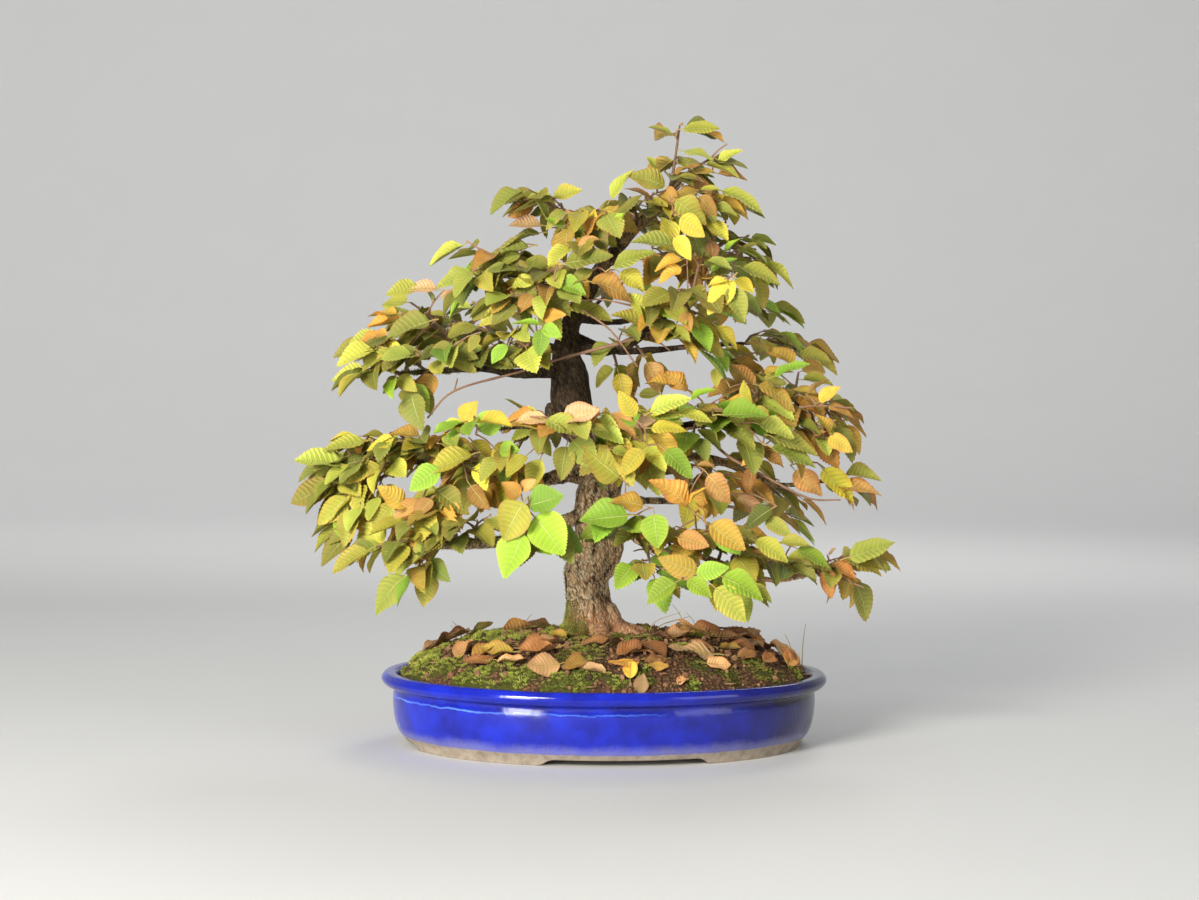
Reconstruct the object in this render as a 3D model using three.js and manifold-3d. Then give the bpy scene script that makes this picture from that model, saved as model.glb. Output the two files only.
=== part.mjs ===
// Korean hornbeam bonsai in autumn leaf, standing in a glazed oval pot filled with domed soil.
// Millimetres, +Z up. The origin lies on the surface that the pot stands on, under the middle of
// the tree's spread. +X runs along the pot to the viewer's right and +Y away from the viewer.

import * as THREE from 'three';
import { mergeVertices } from 'three/addons/utils/BufferGeometryUtils.js';
import Module from 'manifold-3d';

const wasm = await Module();
wasm.setup();

// Driving dimensions
const potLength = 300;
const potWidth = 230;
const potHeight = 48;
const lipHeight = 8.5;
const floorTop = 10;
const floorUnderside = 4.5;
const drainDiameter = 22;
const drainSpacing = 140;
const screenSide = 34;
const screenThickness = 1.2;
const soilEdge = 44.5;
const soilRise = 28;
const soilPower = 4.4;
const fitGap = 0.3;
const leafShortest = 24;
const leafSpread = 9;
const leafThickness = 0.7;
const leafFold = 0.32;
const leafSpacing = 10.5;
const tipLeafReach = 20;
const twigSpacing = 18;
const stemRadius = 1.3;
const stemTipRadius = 0.75;

// Of the leaves along a stem the solid spray keeps one in so many, and all those at the tips.
const sideLeafEvery = 8;

// The crown leans out to the left of its pot and a little behind it, so the pot and the trunk
// stand this far from the origin.
const potOffset = new THREE.Vector3(8, -2.8, 0);

const potSegments = 32;
const up = new THREE.Vector3(0, 0, 1);

// Leaves turn their faces to the light, which falls from above and in front.
const towardLight = new THREE.Vector3(-0.1, -0.55, 0.8);

// Centre line of the trunk from inside the soil to the leader: x, y, z and diameter
const trunkRows = [
  [-3, 13, 54, 42], [-5, 13, 66, 40], [-8, 13, 76, 35], [-9, 12, 91, 33], [-8, 10, 112, 36],
  [-6, 8, 132, 36], [-6, 6, 149, 34], [-7, 4, 164, 29], [-2, 2, 180, 26], [-1, 2, 191, 23],
  [-10, 5, 202, 23], [-21, 10, 216, 26], [-24, 11, 230, 27], [-25, 12, 246, 25], [-28, 10, 262, 18],
  [-26, 8, 277, 13.5], [-22, 5, 289, 12], [-15, 2, 301, 11], [-6, -3, 319, 10], [5, -7, 333, 9],
  [15, -10, 345, 8], [25, -14, 354, 7], [36, -15, 361, 5.5],
];

// Branches: radius where they leave the trunk, radius at the end, and the points they pass through
const branchRows = {
  leftLowFront: [6.5, 2.6, [[-13, 2, 155], [-29, -10, 149], [-48, -20, 143], [-72, -28, 137],
    [-95, -33, 135], [-117, -36, 135]]],
  leftLow: [6.5, 2, [[-3, 0, 188], [-15, 6, 185], [-33, 9, 179], [-52, 7, 173], [-70, 6, 171],
    [-88, 6, 179], [-107, 7, 186], [-129, 8, 187]]],
  leftLowBack: [5, 1.6, [[-7, 9, 176], [-20, 30, 176], [-38, 49, 173], [-60, 64, 178], [-84, 74, 183]]],
  leftHigh: [6, 1.6, [[-28, 10, 252], [-43, 2, 248], [-64, -5, 247], [-88, -10, 250],
    [-114, -10, 248], [-140, -11, 246]]],
  leftHighBack: [4, 1.4, [[-26, 14, 262], [-41, 32, 267], [-64, 50, 274], [-88, 62, 278]]],
  apexLeft: [3.8, 1.3, [[-17, 2, 298], [-31, -2, 302], [-47, -8, 307], [-63, -11, 311],
    [-79, -13, 312]]],
  apexLeftTop: [3, 1.3, [[7, -7, 336], [-9, -11, 344], [-24, -11, 352], [-38, -9, 357]]],
  apexRight: [3.2, 1.3, [[-3, -2, 322], [20, 3, 326], [45, 8, 329], [68, 11, 331]]],
  rightHighFront: [4.6, 1.6, [[-24, 9, 267], [-8, -13, 262], [8, -31, 266], [20, -45, 277],
    [34, -57, 289], [44, -65, 298]]],
  rightHigh: [4.6, 1.6, [[-23, 11, 271], [3, 16, 264], [31, 22, 264], [67, 29, 268], [100, 34, 270]]],
  rightHighBack: [3.6, 1.4, [[-22, 9, 285], [6, 30, 283], [37, 46, 288], [70, 54, 291]]],
  rightMid: [5.5, 1.6, [[-5, 5, 199], [12, -8, 205], [32, -19, 210], [57, -28, 215], [86, -34, 218],
    [112, -38, 222], [130, -40, 229]]],
  frontMid: [2.4, 1.2, [[26, -16, 208], [6, -35, 212], [-16, -50, 213], [-40, -57, 213],
    [-66, -59, 212], [-91, -60, 210]]],
  rightLow: [6, 1.6, [[3, 2, 184], [27, 8, 187], [55, 13, 192], [79, 13, 189], [99, 8, 181],
    [118, 2, 174], [136, -5, 175]]],
  rightLowFront: [4.5, 1.4, [[3, 0, 149], [14, -16, 141], [31, -31, 130], [53, -44, 129],
    [75, -53, 122], [101, -59, 114], [127, -60, 119], [144, -61, 127]]],
  rightLowBack: [4.5, 1.5, [[4, 9, 162], [32, 32, 161], [66, 50, 159], [100, 61, 155]]],
  backMid: [4, 1.4, [[-6, 13, 182], [0, 34, 192], [8, 54, 201], [16, 67, 208]]],
  backHigh: [3.2, 1.4, [[-24, 11, 277], [-12, 31, 288], [2, 50, 300]]],
  oldCut: [8, 5.5, [[-22, 9, 222], [-33, 4, 221], [-41, 1, 223]]],
};

// Sprays: name, branch, how far along it they grow, colour, and their stems. A stem's row holds how
// far along the first stem it leaves, its tip, how far its twigs reach sideways, and its fullness.
const sprayRows = [
  ['pendant_left', 'leftLowFront', 1, 'green', [[0, [-142, -49, 105], 14, 0.45]]],
  ['left_front', 'leftLowFront', 0.68, 'green', [[0, [-176, -42, 133], 26, 1],
    [0.12, [-107, -64, 162], 22, 0.8]]],
  ['front_four', 'leftLowFront', 0.4, 'bright', [[0, [-63, -86, 142], 16, 0.4]]],
  ['left_tip', 'leftLow', 1, 'green', [[0, [-205, 9, 170], 30, 1], [0.2, [-203, 35, 187], 24, 0.9],
    [0.15, [-190, -12, 136], 26, 0.9]]],
  ['left_top', 'leftLow', 0.8, 'yellow', [[0, [-178, 41, 206], 26, 1],
    [0.2, [-130, -12, 212], 26, 0.9]]],
  ['left_inner', 'leftLow', 0.5, 'orange', [[0, [-109, -51, 196], 26, 0.9],
    [0.1, [-144, -40, 151], 26, 0.9]]],
  ['left_back', 'leftLowBack', 1, 'green', [[0, [-142, 80, 188], 28, 0.9],
    [0.1, [-62, 86, 199], 24, 0.9]]],
  ['left_high_tip', 'leftHigh', 1, 'green', [[0, [-182, -13, 247], 26, 1],
    [0.2, [-125, -31, 229], 10, 0.4]]],
  ['left_high_shoulder', 'leftHigh', 0.85, 'green', [[0, [-173, 10, 272], 28, 1]]],
  ['left_high_front', 'leftHigh', 0.65, 'green', [[0, [-144, -52, 261], 28, 1]]],
  ['left_high_crown', 'leftHigh', 0.6, 'green', [[0, [-135, 29, 294], 28, 1],
    [0.5, [-144, 34, 306], 8, 0.3]]],
  ['left_high_inner', 'leftHigh', 0.35, 'green', [[0, [-96, -23, 294], 28, 1],
    [0.2, [-58, -67, 269], 18, 0.6]]],
  ['left_high_back', 'leftHighBack', 1, 'green', [[0, [-132, 77, 286], 28, 0.9],
    [0.1, [-58, 90, 300], 26, 0.9]]],
  ['apex_left_tip', 'apexLeft', 1, 'green', [[0, [-98, -17, 314], 24, 1],
    [0.15, [-74, 6, 339], 26, 1]]],
  ['apex_left_front', 'apexLeft', 0.55, 'green', [[0, [-74, -56, 286], 26, 1],
    [0.1, [-36, -58, 319], 22, 0.9]]],
  ['crown_left', 'apexLeftTop', 1, 'green', [[0, [-62, -5, 367], 22, 1]]],
  ['crown_front', 'apexLeftTop', 0.5, 'orange', [[0, [-31, -50, 359], 20, 1]]],
  ['leader', 'trunk', 1, 'green', [[0, [46, -14, 433], 8, 0.35], [0.15, [80, -10, 404], 12, 0.5]]],
  ['crown_right', 'trunk', 0.96, 'yellow', [[0, [100, 2, 368], 18, 1], [0.2, [49, -63, 339], 22, 1]]],
  ['crown_top', 'trunk', 0.93, 'green', [[0, [4, -19, 379], 18, 1]]],
  ['crown_back', 'trunk', 0.88, 'green', [[0, [28, 57, 369], 24, 1]]],
  ['apex_right_tip', 'apexRight', 1, 'green', [[0, [114, 18, 319], 24, 1],
    [0.1, [96, 57, 346], 24, 1]]],
  ['apex_right_front', 'apexRight', 0.5, 'orange', [[0, [44, -57, 320], 22, 0.9]]],
  ['right_high_front_tip', 'rightHighFront', 1, 'yellow', [[0, [69, -92, 295], 22, 0.9],
    [0.1, [18, -75, 304], 18, 0.7]]],
  ['right_high_front_low', 'rightHighFront', 0.6, 'orange', [[0, [46, -81, 273], 18, 0.6]]],
  ['right_high_tip', 'rightHigh', 1, 'yellow', [[0, [159, 36, 263], 26, 1]]],
  ['right_high_middle', 'rightHigh', 0.6, 'yellow', [[0, [109, -5, 248], 24, 0.7]]],
  ['right_high_back', 'rightHighBack', 1, 'green', [[0, [138, 67, 296], 28, 0.9],
    [0.1, [70, 88, 303], 25, 0.8]]],
  ['right_mid_tip', 'rightMid', 1, 'orange', [[0, [154, -46, 227], 18, 0.8],
    [0.4, [149, -55, 207], 14, 0.6]]],
  ['right_mid_top', 'rightMid', 0.7, 'yellow', [[0, [127, -18, 250], 26, 1]]],
  ['right_mid_front', 'rightMid', 0.5, 'bright', [[0, [76, -81, 226], 26, 1],
    [0.15, [43, -69, 236], 22, 0.8]]],
  ['cross_tip', 'frontMid', 1, 'bright', [[0, [-108, -66, 222], 10, 0.4]]],
  ['cross_middle', 'frontMid', 0.55, 'orange', [[0, [-52, -80, 222], 16, 0.7]]],
  ['front_centre', 'frontMid', 0.2, 'yellow', [[0, [-1, -85, 193], 18, 0.8]]],
  ['right_low_tip', 'rightLow', 1, 'orange', [[0, [184, -18, 174], 20, 0.8]]],
  ['right_low_back', 'rightLow', 0.65, 'orange', [[0, [142, 41, 155], 26, 0.7]]],
  ['right_low_front', 'rightLow', 0.45, 'orange', [[0, [63, -69, 164], 26, 1]]],
  ['right_foot_tip', 'rightLowFront', 1, 'orange', [[0, [180, -68, 137], 12, 0.5],
    [0.1, [161, -59, 106], 12, 0.5]]],
  ['right_foot_top', 'rightLowFront', 0.75, 'green', [[0, [123, -82, 139], 18, 0.9]]],
  ['right_foot_front', 'rightLowFront', 0.45, 'bright', [[0, [75, -106, 105], 16, 0.6]]],
  ['right_foot_inner', 'rightLowFront', 0.22, 'bright', [[0, [16, -96, 115], 14, 0.6],
    [0.15, [-19, -88, 160], 12, 0.5]]],
  ['right_foot_middle', 'rightLowFront', 0.4, 'yellow', [[0, [46, -91, 155], 24, 1]]],
  ['right_back', 'rightLowBack', 1, 'yellow', [[0, [154, 72, 144], 28, 0.9],
    [0.1, [82, 88, 172], 25, 0.8]]],
  ['back', 'backMid', 1, 'green', [[0, [26, 94, 214], 28, 1], [0.1, [-24, 92, 220], 24, 0.8]]],
  ['back_high', 'backHigh', 1, 'green', [[0, [12, 90, 317], 28, 1]]],
];

// Fallen leaves: name, colour, and for each leaf of the heap x, y, heading in degrees, length, fold
const fallenRows = [
  ['fallen_left_heap', 'fallen', [[-112, 14, 20, 30, 0.3], [-101, 18, 150, 30, 0.5],
    [-97, 8, 245, 27, 0.3]]],
  ['fallen_left_gold', 'yellow', [[-84, -46, 28, 31, 0.25], [-76, -54, 150, 26, 0.4]]],
  ['fallen_left_back', 'yellow', [[-58, 24, 200, 30, 0.25]]],
  ['fallen_left_tan', 'fallen', [[-50, -57, 10, 30, 0.3], [-52, -66, 190, 30, 0.6]]],
  ['fallen_front_tan', 'fallen', [[-50, -82, 185, 27, 0.2]]],
  ['fallen_front_yellow', 'yellow', [[1, -86, 200, 26, 0.15], [3, -91, 80, 22, 0.3]]],
  ['fallen_middle_amber', 'fallen', [[14, -66, 160, 31, 0.3], [20, -68, 300, 31, 0.3]]],
  ['fallen_right_large', 'fallen', [[48, -68, 190, 40, 0.2]]],
  ['fallen_right_heap', 'fallen', [[88, -8, 20, 42, 0.25], [92, 2, 150, 34, 0.4]]],
  ['fallen_right_end', 'fallen', [[120, -24, 110, 27, 0.5]]],
];

const finishes = {
  bark: { color: 0x5f5144, roughness: 0.9, metalness: 0 },
  glaze: { color: 0x1f35c4, roughness: 0.15, metalness: 0 },
  soil: { color: 0x4a3a26, roughness: 1, metalness: 0 },
  screen: { color: 0x2b2d2c, roughness: 0.6, metalness: 0 },
  green: { color: 0x8f9a3a, roughness: 0.6, metalness: 0 },
  bright: { color: 0xb9dc2c, roughness: 0.6, metalness: 0 },
  yellow: { color: 0xd9b23a, roughness: 0.6, metalness: 0 },
  orange: { color: 0xc98443, roughness: 0.6, metalness: 0 },
  fallen: { color: 0x96673c, roughness: 0.8, metalness: 0 },
};

// Solids and meshes

function vector(numbers) {
  return new THREE.Vector3(numbers[0], numbers[1], numbers[2]);
}

function signedVolume(points, faces) {
  return faces.reduce((sum, [a, b, c]) =>
    sum + points[a].dot(new THREE.Vector3().crossVectors(points[b], points[c])) / 6, 0);
}

function solidOf(points, faces) {
  const inward = signedVolume(points, faces) < 0;
  const vertProperties = new Float32Array(points.flatMap((point) => point.toArray()));
  const triVerts = new Uint32Array(faces.flatMap(([a, b, c]) => (inward ? [a, c, b] : [a, b, c])));
  return new wasm.Manifold(new wasm.Mesh({ numProp: 3, vertProperties, triVerts }));
}

function solidFrom(geometry) {
  const bare = new THREE.BufferGeometry();
  bare.setAttribute('position', geometry.getAttribute('position'));
  bare.setIndex(geometry.getIndex());
  const merged = mergeVertices(bare, 1e-3);
  const spots = merged.getAttribute('position');
  const index = merged.getIndex();
  const points = Array.from({ length: spots.count }, (_, n) =>
    new THREE.Vector3().fromBufferAttribute(spots, n));
  const faces = [];
  for (let n = 0; n < index.count; n += 3) {
    const [a, b, c] = [index.getX(n), index.getX(n + 1), index.getX(n + 2)];
    if (a !== b && b !== c && c !== a) {
      faces.push([a, b, c]);
    }
  }
  return solidOf(points, faces);
}

function joined(solids) {
  return solids.reduce((sum, solid) => sum.add(solid));
}

// What a cut leaves loose is dropped: the largest body stays.
function largestBody(solid) {
  const bodies = solid.decompose().sort((a, b) => b.volume() - a.volume());
  return bodies[0];
}

function meshOf(name, solid, finish) {
  const { vertProperties, triVerts } = solid.getMesh();
  const geometry = new THREE.BufferGeometry();
  geometry.setAttribute('position', new THREE.BufferAttribute(vertProperties, 3));
  geometry.setIndex(new THREE.BufferAttribute(triVerts, 1));
  geometry.computeVertexNormals();
  const mesh = new THREE.Mesh(geometry, new THREE.MeshStandardMaterial(finishes[finish]));
  mesh.name = name;
  return mesh;
}

function boxesMeet(a, b) {
  const p = a.boundingBox();
  const q = b.boundingBox();
  return [0, 1, 2].every((axis) => p.min[axis] <= q.max[axis] && q.min[axis] <= p.max[axis]);
}

function crosses(solid, others) {
  return others.some((other) => boxesMeet(solid, other) && !solid.intersect(other).isEmpty());
}

// Lines: smooth curves kept as closely spaced points

function smoothLine(corners, stepsEach) {
  const line = [];
  for (let n = 0; n < corners.length - 1; n += 1) {
    const b = corners[n];
    const c = corners[n + 1];
    const a = n > 0 ? corners[n - 1] : b.clone().multiplyScalar(2).sub(c);
    const d = n + 2 < corners.length ? corners[n + 2] : c.clone().multiplyScalar(2).sub(b);
    for (let step = 0; step < stepsEach; step += 1) {
      const t = step / stepsEach;
      const spot = new THREE.Vector3();
      spot.addScaledVector(a, 0.5 * (-t + 2 * t * t - t * t * t));
      spot.addScaledVector(b, 0.5 * (2 - 5 * t * t + 3 * t * t * t));
      spot.addScaledVector(c, 0.5 * (t + 4 * t * t - 3 * t * t * t));
      spot.addScaledVector(d, 0.5 * (-t * t + t * t * t));
      line.push(spot);
    }
  }
  line.push(corners[corners.length - 1].clone());
  return line;
}

function lineLength(line) {
  return line.slice(1).reduce((sum, point, n) => sum + point.distanceTo(line[n]), 0);
}

function spotOn(line, fraction) {
  let left = lineLength(line) * fraction;
  for (let n = 0; n < line.length - 1; n += 1) {
    const step = line[n].distanceTo(line[n + 1]);
    if (left <= step || n === line.length - 2) {
      const point = line[n].clone().lerp(line[n + 1], Math.min(left / step, 1));
      const tangent = line[n + 1].clone().sub(line[n]).normalize();
      return { point, tangent };
    }
    left -= step;
  }
  return null;
}

// A tube of round or ridged section along a line, closed at both ends. radiusAt gets the ring's
// place from 0 to 1 and the angle round it. A grown tube is the same with its skin moved outward.
function tube(line, sides, radiusAt, grow = 0) {
  const points = [];
  const faces = [];
  const last = line.length - 1;
  let across = null;
  line.forEach((spot, n) => {
    const tangent = line[Math.min(n + 1, last)].clone().sub(line[Math.max(n - 1, 0)]).normalize();
    const start = across ?? new THREE.Vector3(Math.abs(tangent.x) > 0.7 ? 0 : 1, 0.2, 0.3);
    across = start.clone().addScaledVector(tangent, -start.dot(tangent)).normalize();
    const beside = new THREE.Vector3().crossVectors(tangent, across);
    const pushed = n === 0 ? -grow : n === last ? grow : 0;
    for (let side = 0; side < sides; side += 1) {
      const angle = (side / sides) * 2 * Math.PI;
      const radius = radiusAt(n / last, angle) + grow;
      points.push(spot.clone().addScaledVector(tangent, pushed)
        .addScaledVector(across, radius * Math.cos(angle))
        .addScaledVector(beside, radius * Math.sin(angle)));
    }
  });
  for (let n = 0; n < last; n += 1) {
    for (let side = 0; side < sides; side += 1) {
      const next = (side + 1) % sides;
      const [a, b] = [n * sides + side, n * sides + next];
      faces.push([a, b, b + sides], [a, b + sides, a + sides]);
    }
  }
  for (let side = 1; side < sides - 1; side += 1) {
    faces.push([0, side + 1, side], [last * sides, last * sides + side, last * sides + side + 1]);
  }
  return solidOf(points, faces);
}

// A seeded draw between 0 and 1
function drawer(seed) {
  let state = seed;
  return () => {
    state = (state * 16807) % 2147483647;
    return state / 2147483647;
  };
}

// Pot

// The oval is a turned shape pressed narrower front to back.
function ovalSolid(profile) {
  const turned = new THREE.LatheGeometry(profile.map(([r, z]) => new THREE.Vector2(r, z)), potSegments);
  turned.rotateX(Math.PI / 2);
  turned.scale(1, potWidth / potLength, 1);
  return solidFrom(turned);
}

const rimRadius = potLength / 2;
const innerProfile = [
  [rimRadius - 11, soilEdge], [rimRadius - 12.5, 20], [rimRadius - 16, 12.5], [rimRadius - 24, floorTop],
];

// A bracket-shaped opening between two feet, cut right across under the pot
function footOpening(halfWidth, turn) {
  const ogee = 9;
  const outline = new THREE.Shape();
  outline.moveTo(-halfWidth - 4, -1);
  outline.lineTo(-halfWidth, 0);
  outline.quadraticCurveTo(-halfWidth + ogee * 0.4, 3.6, -halfWidth + ogee, 4);
  outline.lineTo(halfWidth - ogee, 4);
  outline.quadraticCurveTo(halfWidth - ogee * 0.4, 3.6, halfWidth, 0);
  outline.lineTo(halfWidth + 4, -1);
  const cutter = new THREE.ExtrudeGeometry(outline, {
    depth: potLength * 1.2, bevelEnabled: false, curveSegments: 2,
  });
  cutter.translate(0, 0, -potLength * 0.6);
  cutter.rotateX(Math.PI / 2);
  cutter.rotateZ(turn);
  return solidFrom(cutter);
}

function drainHole(side) {
  const hole = new THREE.CylinderGeometry(drainDiameter / 2, drainDiameter / 2, floorTop * 2, 12);
  hole.rotateX(Math.PI / 2);
  hole.translate((side * drainSpacing) / 2, 0, floorUnderside);
  return solidFrom(hole);
}

function potSolid() {
  const lip = potHeight - lipHeight;
  const body = ovalSolid([
    [0, floorUnderside], [rimRadius - 31, floorUnderside], [rimRadius - 29, 0], [rimRadius - 17, 0],
    [rimRadius - 16, floorUnderside], [rimRadius - 11.5, 9], [rimRadius - 8.5, 18],
    [rimRadius - 7.5, 31], [rimRadius - 8.5, lip - 1.5], [rimRadius - 2.5, lip],
    [rimRadius, lip + 3], [rimRadius, lip + 5.5], [rimRadius - 2.5, potHeight],
    [rimRadius - 9, potHeight], ...innerProfile, [0, floorTop],
  ]);
  const cuts = [footOpening(56, 0), footOpening(33, Math.PI / 2), drainHole(-1), drainHole(1)];
  return cuts.reduce((pot, cut) => pot.subtract(cut), body);
}

// Plastic mesh over each drain hole
function sheetSolid(side, width, thickness) {
  const sheet = new THREE.BoxGeometry(width, width, thickness);
  sheet.translate((side * drainSpacing) / 2, 0, floorTop + fitGap + screenThickness / 2);
  return solidFrom(sheet);
}

function screenSolid(side) {
  const pitch = screenSide / 3;
  const cell = sheetSolid(0, pitch * 0.72, screenThickness * 2);
  const places = [-1, 0, 1];
  return places.flatMap((column) => places.map((row) =>
    cell.translate([(side * drainSpacing) / 2 + column * pitch, row * pitch, 0])))
    .reduce((sheet, hole) => sheet.subtract(hole), sheetSolid(side, screenSide, screenThickness));
}

// Soil

// Height of the domed soil: flat-topped, falling quickly to the rim, with low lumps
function soilHeight(x, y) {
  const edge = rimRadius - 11.5;
  const share = Math.min(Math.hypot(x / edge, (y / edge) * (potLength / potWidth)), 1);
  const dome = soilRise * (1 - share ** soilPower);
  const lumps = 0.9 * Math.sin(x / 7.1 + y / 13) * Math.cos(y / 6.3 - x / 17) * (1 - share ** 8);
  return soilEdge + dome + lumps;
}

function soilSolid(sockets) {
  const gap = fitGap * (potLength / potWidth);
  const rings = [0.94, 0.78, 0.5];
  const wall = innerProfile.map(([r, z]) => [r - gap, z]);
  wall[3][1] = floorTop + fitGap;
  const [edge] = wall[0];
  const profile = [[0, floorTop + fitGap], ...wall.reverse(),
    ...rings.map((share) => [edge * share, soilEdge + 1]), [0, soilEdge + 1]];
  const turned = new THREE.LatheGeometry(profile.map(([r, z]) => new THREE.Vector2(r, z)), potSegments);
  turned.rotateX(Math.PI / 2);
  turned.scale(1, potWidth / potLength, 1);
  const spots = turned.getAttribute('position');
  for (let n = 0; n < spots.count; n += 1) {
    if (spots.getZ(n) > soilEdge + 0.5) {
      spots.setZ(n, soilHeight(spots.getX(n), spots.getY(n)));
    }
  }
  return sockets.reduce((soil, socket) => soil.subtract(socket), solidFrom(turned));
}

// Wood

const trunkLine = trunkRows.map(vector);

function trunkRadius(place, angle) {
  const spot = place * (trunkRows.length - 1);
  const n = Math.min(Math.floor(spot), trunkRows.length - 2);
  const diameter = THREE.MathUtils.lerp(trunkRows[n][3], trunkRows[n + 1][3], spot - n);
  const ridges = 1 + 0.05 * Math.sin(3 * angle + place * 9) + 0.03 * Math.sin(5 * angle - place * 14);
  return (diameter / 2) * ridges;
}

const branchLines = Object.fromEntries(Object.entries(branchRows).map(([name, row]) =>
  [name, row[2].map(vector)]));
branchLines.trunk = trunkLine;

function branchRadius(name, place) {
  if (name === 'trunk') {
    return trunkRadius(place, 0);
  }
  const [start, end] = branchRows[name];
  return THREE.MathUtils.lerp(start, end, Math.sqrt(place));
}

const rootCount = 8;
const rootDraw = 4241;
const rootRadius = 9.5;
const rootTipRadius = 3;

// Surface roots spread from the foot of the trunk and dive into the soil.
function rootLines() {
  const draw = drawer(rootDraw);
  return Array.from({ length: rootCount }, (_, n) => {
    const heading = ((n + 0.4 * draw()) / rootCount) * 2 * Math.PI;
    const reach = 34 + 12 * draw();
    const foot = new THREE.Vector3(trunkRows[1][0], trunkRows[1][1], 0);
    const way = new THREE.Vector3(Math.cos(heading), Math.sin(heading), 0);
    const at = (out, z) => foot.clone().addScaledVector(way, out).addScaledVector(up, z);
    return [at(6, 92), at(17, 77), at(reach * 0.75, 71), at(reach, 60)];
  });
}

const trunkSides = 12;
const branchSides = 5;

function woodSolid(grow = 0) {
  const trunk = tube(trunkLine, trunkSides, trunkRadius, grow);
  const branches = Object.keys(branchRows).map((name) =>
    tube(branchLines[name], branchSides, (place) => branchRadius(name, place), grow));
  const roots = rootLines().map((line) => tube(line, branchSides,
    (place) => THREE.MathUtils.lerp(rootRadius, rootTipRadius, place), grow));
  return joined([trunk, ...branches, ...roots]);
}

// Sprays

// Each spray draws its own numbers from this seed times its place in the list.
const sprayDraw = 7919;

// Direction of a leaf or twig that leaves a line sideways
function sideOf(tangent) {
  const across = new THREE.Vector3().crossVectors(tangent, up);
  return across.lengthSq() > 1e-6 ? across.normalize() : new THREE.Vector3(1, 0, 0);
}

function hangLeaf(spray, line, fraction, side, owner, draw) {
  const { point, tangent } = spotOn(line, fraction);
  const across = sideOf(tangent);
  const outward = new THREE.Vector3(point.x, point.y, 0).normalize();
  const heading = new THREE.Vector3(tangent.x, tangent.y, tangent.z * (tangent.z > 0 ? 0.35 : 1))
    .multiplyScalar(0.6)
    .addScaledVector(across, 0.8 * side + 0.4 * (draw() - 0.5))
    .addScaledVector(outward, 0.25)
    .addScaledVector(up, -0.5 + 0.4 * draw()).normalize();
  const facing = towardLight.clone()
    .addScaledVector(outward, 0.5)
    .addScaledVector(across, 0.7 * (draw() - 0.5))
    .addScaledVector(tangent, 0.4 * (draw() - 0.5));
  facing.addScaledVector(heading, -facing.dot(heading)).normalize();
  const length = leafShortest + leafSpread * draw();
  spray.leaves.push({ base: point, heading, facing, length, owner, atTip: side === 0 });
}

function hangLeaves(spray, line, begin, owner, draw) {
  const count = Math.max(1, Math.round((lineLength(line) * (1 - begin)) / leafSpacing));
  for (let n = 0; n < count; n += 1) {
    const fraction = begin + ((1 - begin) * (n + 0.5)) / (count + 0.3);
    hangLeaf(spray, line, fraction, n % 2 ? 1 : -1, owner, draw);
  }
  hangLeaf(spray, line, 1, 0, owner, draw);
}

function growTwig(spray, stem, fraction, side, reach, draw) {
  const { point, tangent } = spotOn(stem, fraction);
  const heading = tangent.clone().multiplyScalar(0.7)
    .addScaledVector(sideOf(tangent), 0.9 * side)
    .addScaledVector(up, 0.35 * draw() - 0.08).normalize();
  const length = reach * (1.15 - 0.6 * fraction) * (0.75 + 0.4 * draw());
  const end = point.clone().addScaledVector(heading, length);
  const middle = point.clone().lerp(end, 0.5).addScaledVector(up, 0.06 * length);
  const twig = smoothLine([point, middle, end], 2);
  spray.twigs.push(twig);
  hangLeaves(spray, twig, 0.25, spray.twigs.length - 1, draw);
}

// The leaf at the end of a stem reaches the tip, so the stem itself stops short of it.
function growStem(spray, root, tip, reach, fullness, bend, draw) {
  const span = tip.clone().sub(root);
  const length = Math.max(span.length() - tipLeafReach, span.length() / 2);
  span.setLength(length);
  const lift = length * (0.05 + 0.06 * draw());
  const sway = length * 0.12 * (draw() - 0.5);
  const knee = root.clone().addScaledVector(span, 0.5)
    .addScaledVector(up, lift + bend).addScaledVector(sideOf(span), sway);
  const stem = smoothLine([root, knee, root.clone().add(span)], 2);
  spray.stems.push(stem);
  const count = Math.max(1, Math.round((length * fullness) / twigSpacing));
  for (let n = 0; n < count; n += 1) {
    growTwig(spray, stem, 0.16 + (0.72 * (n + 0.5)) / count, n % 2 ? 1 : -1, reach, draw);
  }
  hangLeaves(spray, stem, 0.4, -1, draw);
}

function growSpray(row, index, bend) {
  const [, branch, place, , stems] = row;
  const draw = drawer(sprayDraw * (index + 3));
  const spray = { stems: [], twigs: [], leaves: [] };
  stems.forEach(([from, tip, reach, fullness], n) => {
    const root = n === 0 ? spotOn(branchLines[branch], place) : spotOn(spray.stems[0], from);
    growStem(spray, root.point, vector(tip), reach, fullness, bend, draw);
  });
  return spray;
}

// One side of a leaf with its stalk: shares of the length along and across. The edge has coarse
// teeth, and the blade is folded along its midrib.
const leafEdge = [[0.16, 0.032], [0.36, 0.275], [0.46, 0.22], [0.6, 0.24]];

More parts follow.
